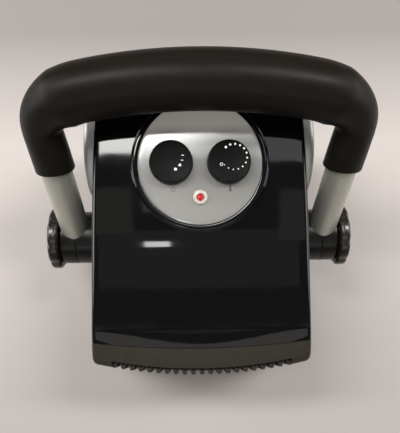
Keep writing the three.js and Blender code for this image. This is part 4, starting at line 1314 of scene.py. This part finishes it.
# ---------- handle ----------
@dataclass
class Handle:
    """Silver tube and rubber grip, bent to one line.

    Attributes:
        lean: Degrees back from upright.
        ahead: How far the arms pass in front of the pivot line.
        arm_x: Centreline of the arms at the pivot.
        spread: How much further out they are where their bends start.
        tube_r: Radius of the tube.
        neck_r: Radius of the tube inside the grip.
        start: Lower end of the tube, from the pivot.
        reach: From the pivot to the middle of the crossbar.
        sag: How much lower the crossbar is where its bends start.
        bend: Size of the bends.
        pull: How far the line follows each end's direction in a bend, as a share of the bend.
        grip_start: Lower end of the grip, from the pivot.
        neck_up: How far above that end the tube draws in.
        end_r: Radius of the grip at its ends.
        bend_r: Radius of the grip at its bends.
        bar_r: Radius of the grip at the middle of the crossbar.
        swell: How soon the grip reaches its full thickness along a bend.
        ease: How gently it ends.
        slant: Degrees that the grip's mouths are cut aslant, higher in front.
        slant_run: How far up the grip the slant runs out.
        arm_steps: Stretches along an arm.
        bend_steps: Points along a bend.
        bar_steps: Points along the crossbar.
        line: The centreline in the handle's own plane.
    """

    lean: float = 31
    ahead: float = 4.3
    arm_x: float = 111.516
    spread: float = 8.5
    tube_r: float = 12.7
    neck_r: float = 10
    start: float = 11
    reach: float = 172
    sag: float = 9
    bend: float = 37
    pull: float = 0.55
    grip_start: float = 88
    neck_up: float = 9
    end_r: float = 16
    bend_r: float = 15.2
    bar_r: float = 22.4
    swell: float = 6
    ease: float = 0.7
    slant: float = 20
    slant_run: float = 16
    arm_steps: int = 40
    bend_steps: int = 32
    bar_steps: int = 64
    line: list[Vector] = field(default_factory=list)

    def __post_init__(self) -> None:
        """Works out the centreline."""
        low, top = self.low(), self.arm_x + self.spread
        pull = self.bend * self.pull
        corner = Vector((self.bend - top, 0, self.reach - self.sag))
        rise = (self.reach + self.sag - corner.z) * 2 / 3
        run = low - self.start
        arm = [self.on_arm(self.start + run * i / self.arm_steps) for i in range(self.arm_steps)]
        slope = 2 * self.sag / corner.x
        turn = interpolate_bezier(Vector((-top, 0, low)), self.on_arm(low + pull),
                                  corner + Vector((-pull, 0, pull * slope)), corner, self.bend_steps)
        towards = Vector((corner.x / 3, 0, corner.z + rise))
        bar = interpolate_bezier(corner, towards, across(towards), across(corner), self.bar_steps)
        half = [*arm, *turn, *bar[1:self.bar_steps // 2 + 1]]
        self.line = [*half, *map(across, reversed(half[:-1]))]

    def low(self) -> float:
        """Height above the pivot where the bends start."""
        return self.reach - self.sag - self.bend

    def on_arm(self, height: float) -> Vector:
        """Centre of the left arm at a height above the pivot."""
        return Vector((-self.arm_x - height * self.spread / self.low(), 0, height))

    def plane(self) -> Matrix:
        """Placement of the handle's own plane."""
        return shifted(z=PIVOT_Z) @ tipped(-self.lean) @ shifted(y=-self.ahead)

    def stations(self, radius: Callable[[Vector], float], low: float, lip: Sequence[Point]) -> list[Matrix]:
        """Rings along the line from one arm's end to the other's.

        Args:
            radius: Radius of the bar at a point of the line.
            low: Height above the pivot where both ends are.
            lip: Extra rings at each end, as (height above the end, radius).

        Returns:
            The placement and scale of each ring.
        """
        inner = [p for p in self.line if p.z > low + lip[-1][0] + 0.5]
        ends = [(self.on_arm(low + up), r) for up, r in lip]
        rings = [*ends, *[(p, radius(p)) for p in inner], *[(across(p), r) for p, r in reversed(ends)]]
        placed = []
        for i, (point, r) in enumerate(rings):
            near = rings[max(0, i - 1)][0]
            far = rings[min(len(rings) - 1, i + 1)][0]
            along = far - near
            if point.z < self.low() - 1:
                along = Vector((-self.spread, 0, self.low() * (1 if point.x < 0 else -1)))
            along.normalize()
            out = Vector((0, 1, 0)).cross(along)
            turn = Matrix((out, (0, 1, 0), along)).transposed().to_4x4()
            placed.append(self.plane() @ Matrix.Translation(point) @ turn @ Matrix.Diagonal((r, r, 1, 1)))
        return placed

    def grip_radius(self, point: Vector) -> float:
        """How thick the grip is.

        Args:
            point: A point of the line.

        Returns:
            The grip's radius there.
        """
        low = self.low()
        if point.z < low:
            t = max(0.0, (point.z - self.grip_start) / (low - self.grip_start))
            return self.end_r + (self.bend_r - self.end_r) * t
        t = min(1.0, max(0.0, 1 - abs(point.x) / (self.arm_x + self.spread)) * self.swell) ** self.ease
        return self.bend_r + (self.bar_r - self.bend_r) * t

    def slanted(self, form: Form) -> None:
        """Leans both mouths of the grip so that they are higher in front.

        Args:
            form: The grip.
        """
        plane = self.plane()
        back = plane.inverted()
        for vert in form.bm.verts:
            place = back @ vert.co
            share = max(0.0, 1 - (place.z - self.grip_start) / self.slant_run)
            place.z -= place.y * math.tan(math.radians(self.slant)) * share
            vert.co = plane @ place

    def tube(self) -> bpy.types.Object:
        """Builds the silver tube, drawn in under the grip.

        Returns:
            The tube.
        """
        neck = self.grip_start + self.neck_up
        rings = self.stations(lambda p: self.tube_r if p.z < neck else self.neck_r, self.start,
                              [(0, self.tube_r - 1), (1, self.tube_r)])
        form = Form().sweep(rings, 48)
        return form.finish("handle_bar", Coat.TUBE, "handle", ["handle_tube"], "handle_silver")

    def grip(self) -> bpy.types.Object:
        """Builds the rubber grip with its rounded mouths.

        Returns:
            The grip.
        """
        r, bore, neck = self.end_r, self.tube_r + GAP, self.grip_start + self.neck_up + 0.5
        lip = [
            (0.6, bore), (0.1, bore + 0.5), (0, bore + 1.1), (0.1, r - 1.2), (0.6, r - 0.5), (1.4, r - 0.1),
            (2.4, r),
        ]
        outer = self.stations(self.grip_radius, self.grip_start, lip)
        inner = self.stations(lambda p: bore if p.z < neck else self.neck_r + GAP, self.grip_start,
                              [(1.2, bore)])
        form = Form().sweep([*outer, *reversed(inner)], 56, hollow=True)
        self.slanted(form)
        return form.finish("handle_sleeve", Coat.GRIP, "handle", ["handle_grip"], "grip_rubber", 60)


class Side(Enum):
    """Which end of the pivot line, as the sign of x and the word in the nodes' names."""

    LEFT = (-1, "left")
    RIGHT = (1, "right")


@dataclass
class Pivot:
    """Everything on one end of the pivot line.

    Attributes:
        side: Which end.
        handle: The handle that it carries.
        hub_r: Radius of the hub.
        hub_bore: Radius of the hub's bore.
        hub_in: Inner face of the hub.
        hub_out: Outer face of the hub.
        hub_edge: Rounding of the hub's two outer edges.
        seam_edge: Rounding of the edges along its seam.
        play: Space between hub and clamp knob.
        knob_r: Radius of the clamp knob.
        knob_t: Thickness of the clamp knob.
        lobes: Lobes around the clamp knob.
        dip: Depth of the dips between them, as a share of the radius.
        dip_ease: How narrow the dips are.
        cap_r: Radius of the clamp knob's cap.
    """

    side: Side
    handle: Handle
    hub_r: float = 24
    hub_bore: float = 9.1
    hub_in: float = 90.016
    hub_out: float = 125.716
    hub_edge: float = 1.6
    seam_edge: float = 0.35
    play: float = 1
    knob_r: float = 28.5
    knob_t: float = 9.5
    lobes: int = 8
    dip: float = 0.045
    dip_ease: float = 1.5
    cap_r: float = 14

    def at(self) -> Matrix:
        """Placement on the pivot line, mirrored on the left."""
        return shifted(z=PIVOT_Z) @ mirrored(self.side.value[0])

    def half_hub(self, part: str, start: float, end: float, edges: Pair) -> bpy.types.Object:
        """Turns one half of the hub.

        Args:
            part: Which half.
            start: Its inner face.
            end: Its outer face.
            edges: Rounding at those two faces.

        Returns:
            The half.
        """
        near, far = edges
        profile = [
            (self.hub_bore, start), *arc((self.hub_r - near, start + near), near, -90, 0, 4),
            *arc((self.hub_r - far, end - far), far, 0, 90, 4), (self.hub_bore, end),
        ]
        form = Form().turn(profile, self.at(), Axis.X, 96, True)
        word = self.side.value[1]
        return form.finish(f"hub_{part}_half_{word}", Coat.HUB, "handle", [f"hub_{part}_{word}"],
                           "hub_black", 40)

    def hub(self) -> list[bpy.types.Object]:
        """Turns the two halves of the hub.

        Returns:
            The inner and the outer half.
        """
        seam = self.handle.arm_x
        return [
            self.half_hub("inner", self.hub_in, seam - GAP / 2, (self.hub_edge, self.seam_edge)),
            self.half_hub("outer", seam + GAP / 2, self.hub_out, (self.seam_edge, self.hub_edge)),
        ]

    def lobed(self, angle: float) -> float:
        """Radius of the clamp knob's outline at an angle, as a share."""
        return 1 - self.dip * max(0.0, -math.cos(self.lobes * angle)) ** self.dip_ease

    def knob(self) -> list[bpy.types.Object]:
        """Builds the lobed clamp knob and its cap.

        Returns:
            The knob and the cap.
        """
        word = self.side.value[1]
        body = f"clamp_{word}"
        start, r, t = self.hub_out + self.play, self.knob_r, self.knob_t
        rings = [
            (0, 4.3), (0, r - 3), (0.3, r - 1.6), (1.2, r - 0.5), (2.2, r), (t - 2.4, r), (t - 1.2, r - 0.5),
            (t - 0.3, r - 1.7), (t, r - 3.4), (t, 16.5), (t - 0.6, 16), (t - 0.6, 2),
        ]
        stations = [self.at() @ shifted(start + x) @ Axis.X.value @ Matrix.Diagonal((radius, radius, 1, 1))
                    for x, radius in rings]
        form = Form().sweep(stations, self.lobes * 16, self.lobed)
        knob = form.finish(f"clamp_knob_body_{word}", Coat.KNOB, body, [f"clamp_knob_{word}"],
                           "knob_black", 35)
        top, rim = start + t + GAP, self.cap_r
        crown = [
            (0, top - 0.5), (rim, top - 0.5), (rim, top + 0.7), *arc((rim - 1.4, top + 0.1), 1.4, 25, 80, 4),
            (0, top + 1.7),
        ]
        cap = Form().turn(crown, self.at(), Axis.X, 64)
        return [knob, cap.finish(f"knob_cap_body_{word}", Coat.HUB, body, [f"knob_cap_{word}"], "knob_black")]


@dataclass
class SideCover:
    """Domed silver disc on one side of the casing.

    Attributes:
        side: Which side.
        casing: The casing it sits on.
        radius: Its radius.
        y: Its middle along the casing.
        z: Its middle's height.
        proud: How far it stands out beyond the casing's widest place.
    """

    side: Side
    casing: Casing
    radius: float = 46
    y: float = 73.5
    z: float = 136
    proud: float = 8.2

    def build(self) -> bpy.types.Object:
        """Turns the disc, with a groove near its rim.

        Returns:
            The disc.
        """
        sign, word = self.side.value
        r = self.radius
        inner = self.casing.half_at(self.y - r) + GAP
        out = self.casing.half_width + self.proud
        profile = [
            (0, inner), (r, inner), *arc((r - 5, out - 6.4), 5, 0, 72, 8), (r - 9, out - 1.2),
            (r - 9.6, out - 1.9), (r - 10.4, out - 1.9), (r - 11, out - 1.1), (r * 0.5, out - 0.4), (0, out),
        ]
        form = Form().turn(profile, shifted(0, self.y, self.z) @ mirrored(sign), Axis.X, 96)
        return form.finish(f"side_disc_{word}", Coat.COVER, "casing", [f"side_cover_{word}"],
                           "cover_silver", 40)


# ---------- carried over ----------
def numbered(name: str, count: int) -> list[str]:
    """The names of nodes that are numbered from 1."""
    return [f"{name}_{i}" for i in range(1, count + 1)]


class Dresser:
    """Gives the frame's own pieces their finishes."""

    COATS = {
        Coat.CREAM: ["mode_switch", "heater_frame", "terminal_block"],
        Coat.STEEL: [
            "mode_shaft", "thermostat_shaft", "thermostat_body", "thermal_cutoff", "motor_bracket",
            "motor_body", "motor_shaft", "friction_washer_left", "friction_washer_right", "knob_stud_left",
            "knob_stud_right", *numbered("case_screw", 4),
        ],
        Coat.BRASS: ["terminal_left", "terminal_right", "pivot_stub_left", "pivot_stub_right"],
        Coat.CERAMIC: numbered("ceramic_bar", 3),
        Coat.FIN: numbered("fin_strip", 4),
        Coat.BASE: ["fan_duct", "fan_impeller"],
        Coat.GLASS: ["neon_lamp"],
        Coat.FOOT: ["cord_bushing", *numbered("foot", 4)],
    }

    def dress(self) -> None:
        """Gives each node its material."""
        for coat, names in self.COATS.items():
            for name in names:
                mesh = frame["nodes"][name].data
                mesh.materials.clear()
                mesh.materials.append(coat.material())
                log.info("%s: %s", name, coat.value.name)


# ---------- studio ----------
CEILING = 2.5
WHITE = (1, 1, 1)


@dataclass(frozen=True)
class Lamp:
    """One soft rectangular lamp.

    Attributes:
        name: Its name.
        place: Where it hangs, in metres.
        size: Its width and depth in metres.
        power: Its power in watts.
        target: What it faces, in metres, or nothing when it faces straight down.
        tint: Its colour.
    """

    name: str
    place: Sequence[float]
    size: Pair
    power: float
    target: Sequence[float] | None = None
    tint: Colour = WHITE

    def hang(self) -> None:
        """Adds the lamp to the scene."""
        data = bpy.data.lights.new(self.name, "AREA")
        data.shape = "RECTANGLE"
        data.size, data.size_y = self.size
        data.energy = self.power
        data.color = self.tint
        lamp = bpy.data.objects.new(self.name, data)
        lamp.matrix_world = Matrix.Translation(self.place)
        if self.target is not None:
            facing = (Vector(self.place) - Vector(self.target)).to_track_quat("Z", "Y")
            lamp.matrix_world = lamp.matrix_world @ facing.to_matrix().to_4x4()
        bpy.context.scene.collection.objects.link(lamp)


def overhead(name: str, low: Point, high: Point, radiance: float, tint: Colour = WHITE) -> Lamp:
    """One lit rectangle of the ceiling.

    Args:
        name: Its name.
        low: Its left front corner in metres.
        high: Its right rear corner in metres.
        radiance: How bright it looks.
        tint: Its colour.

    Returns:
        The lamp.
    """
    width, depth = high[0] - low[0], high[1] - low[1]
    place = ((low[0] + high[0]) / 2, (low[1] + high[1]) / 2, CEILING)
    return Lamp(name, place, (width, depth), radiance * math.pi * width * depth, tint=tint)


LAMPS = (
    Lamp("left_soft", (-2.1, 0.35, 0.9), (2.0, 1.3), 39, (0, 0, 0.15)),
    Lamp("right_soft", (2.1, 0.35, 0.9), (2.0, 1.3), 25, (0, 0, 0.15)),
    Lamp("rear_soft", (0.1, 2.3, 1.6), (2.4, 1.2), 5, (0, 0, 0.1)),
    Lamp("front_soft", (0.0, -2.2, 1.5), (3.0, 0.8), 9, (0, 0, 0.1)),
    overhead("key_left", (-2.2, 0.4), (-0.4, 0.75), 26),
    overhead("key_right", (0.6, 0.4), (2.2, 0.75), 28),
    overhead("window_left", (-0.55, -0.045), (-0.26, 0.142), 17, (1, 0.99, 0.95)),
    overhead("window_mid", (-0.26, 0.0), (-0.07, 0.16), 24),
    overhead("window_fade_a", (-0.07, 0.0), (0.03, 0.16), 13),
    overhead("window_fade_b", (0.03, 0.0), (0.13, 0.16), 6),
    overhead("window_fade_c", (0.13, 0.0), (0.33, 0.16), 2.5),
    overhead("window_band", (-0.55, 0.16), (-0.26, 0.3), 1.8, (0.75, 0.9, 1)),
    overhead("window_right", (0.34, -0.093), (0.78, 0.175), 1.25),
    overhead("window_small", (-0.25, -0.86), (-0.115, -0.745), 13),
    overhead("room_mid_a", (-0.25, -0.35), (-0.05, -0.22), 0.7),
    overhead("room_mid_b", (-0.05, -0.35), (0.15, -0.22), 0.35),
    overhead("room_mid_c", (0.15, -0.35), (0.31, -0.22), 0.15),
    overhead("room_left_a", (-0.75, -0.60), (-0.30, -0.22), 0.25, (1, 0.95, 0.8)),
    overhead("room_left_b", (-0.62, -0.52), (-0.34, -0.26), 0.2, (1, 0.9, 0.75)),
    overhead("room_right", (0.45, -0.75), (0.8, -0.24), 0.25, (1, 0.95, 0.85)),
    overhead("room_far_a", (-0.6, -1.15), (0.6, -0.56), 0.15, (1, 0.9, 0.8)),
    overhead("room_far_b", (-0.30, -1.02), (-0.10, -0.86), 0.4, (1, 0.95, 0.8)),
    overhead("room_far_c", (-0.26, -1.10), (-0.13, -0.90), 0.35, (1, 0.95, 0.8)),
    overhead("room_front", (-1.2, -2.05), (1.4, -1.4), 0.7, (1, 0.95, 0.87)),
)


@dataclass
class Studio:
    """Pale floor, soft lamps and the camera.

    Attributes:
        eye: The camera's place in millimetres, with y from the pivot line.
        elevation: How far the camera looks down, in degrees.
        azimuth: Which way it looks, in degrees from +Y towards +X.
        roll: Its turn about its own axis, in degrees.
        lens: Focal length for a 36 mm sensor.
        floor_colour: Screen colour of the floor, as 0xRRGGBB.
        floor_half: Half the floor's size, in metres.
        painted_light_tones: Painted shade on the floor at places along it, as (place, share of its colour):
            darker towards the front and the rear.
        painted_shade_front: Where those places begin along Y, in metres.
        painted_shade_rear: Where they end.
        room: Colour of the room behind.
        dim: How much the room lights the heater.
        pale: How bright the room looks.
    """

    eye: Sequence[float] = (-8.4, -95.9, 600.5)
    elevation: float = 77.18
    azimuth: float = 4.78
    roll: float = -3.96
    lens: float = 45.31
    floor_colour: int = 0xCFC6C1
    floor_half: float = 4.0
    painted_light_tones: Tones = ((0.0, 0.57), (0.25, 0.63), (0.5, 0.79), (0.75, 0.79), (1.0, 0.435))
    painted_shade_front: float = -0.3
    painted_shade_rear: float = 0.27
    room: Colour = (1.0, 0.98, 0.96)
    dim: float = 0.06
    pale: float = 0.5

    def camera(self) -> None:
        """Sets the camera up."""
        el, az, roll = (math.radians(v) for v in (self.elevation, self.azimuth, self.roll))
        ahead = Vector((math.sin(az) * math.cos(el), math.cos(az) * math.cos(el), -math.sin(el)))
        right = Vector((math.cos(az), -math.sin(az), 0))
        up = right.cross(ahead)
        sideways = right * math.cos(roll) - up * math.sin(roll)
        upward = right * math.sin(roll) + up * math.cos(roll)
        data = bpy.data.cameras.new("camera")
        data.lens = self.lens
        data.clip_start = 0.01
        camera = bpy.data.objects.new("camera", data)
        turn = Matrix((sideways, upward, -ahead)).transposed().to_4x4()
        place = Vector((self.eye[0], self.eye[1] + PIVOT_Y, self.eye[2])) * MM
        camera.matrix_world = Matrix.Translation(place) @ turn
        bpy.context.scene.collection.objects.link(camera)
        bpy.context.scene.camera = camera

    def floor(self) -> None:
        """Lays a large floor with painted shade towards its front and rear."""
        bm = bmesh.new()
        bmesh.ops.create_grid(bm, x_segments=2, y_segments=2, size=self.floor_half)
        mesh = bpy.data.meshes.new("floor")
        bm.to_mesh(mesh)
        bm.free()
        recipe = Recipe("floor_pale")
        # painted shade on the floor, darker towards the front and the rear
        recipe.paint_light_bands(shade(self.floor_colour), self.painted_light_tones, self.painted_shade_front, self.painted_shade_rear)
        recipe.set(Roughness=0.6, Specular_IOR_Level=0.2)
        mesh.materials.append(recipe.material)
        floor = bpy.data.objects.new("floor", mesh)
        bpy.context.scene.collection.objects.link(floor)

    def light(self) -> None:
        """Hangs the lamps and sets the room's own light, dimmer than it looks."""
        for lamp in LAMPS:
            lamp.hang()
        world = bpy.data.worlds.new("room")
        world.use_nodes = True
        nodes, links = world.node_tree.nodes, world.node_tree.links
        background = nodes["Background"]
        background.inputs["Color"].default_value = (*self.room, 1)
        strength = nodes.new("ShaderNodeMapRange")
        strength.inputs["To Min"].default_value = self.dim
        strength.inputs["To Max"].default_value = self.pale
        links.new(nodes.new("ShaderNodeLightPath").outputs["Is Camera Ray"], strength.inputs["Value"])
        links.new(strength.outputs["Result"], background.inputs["Strength"])
        bpy.context.scene.world = world

    def build(self) -> None:
        """Sets the whole studio up."""
        self.floor()
        self.light()
        self.camera()
        bpy.context.scene.view_settings.view_transform = "Standard"


def main() -> None:
    """Builds the heater from its sub-assemblies, then the studio around it."""
    logging.basicConfig(level=logging.INFO, format="%(name)s %(message)s")
    casing = Casing()
    casing.top_shell()
    casing.bosses()
    casing.base_tub()
    casing.bezel()
    Outlet(casing).build()
    Intake(casing).build()
    panel = ControlPanel(casing)
    panel.plate()
    panel.icons()
    panel.indicator()
    for dial in (
        Dial(panel, "mode", "mode_control", -1, Marks.SWITCH_STEPS),
        Dial(panel, "thermostat", "thermostat_control", 1, Marks.HEAT_SCALE),
    ):
        dial.knob()
        dial.print()
    handle = Handle()
    handle.tube()
    handle.grip()
    for side in Side:
        pivot = Pivot(side, handle)
        pivot.hub()
        pivot.knob()
        SideCover(side, casing).build()
    Dresser().dress()
    Studio().build()


if __name__ == "__main__":
    main()
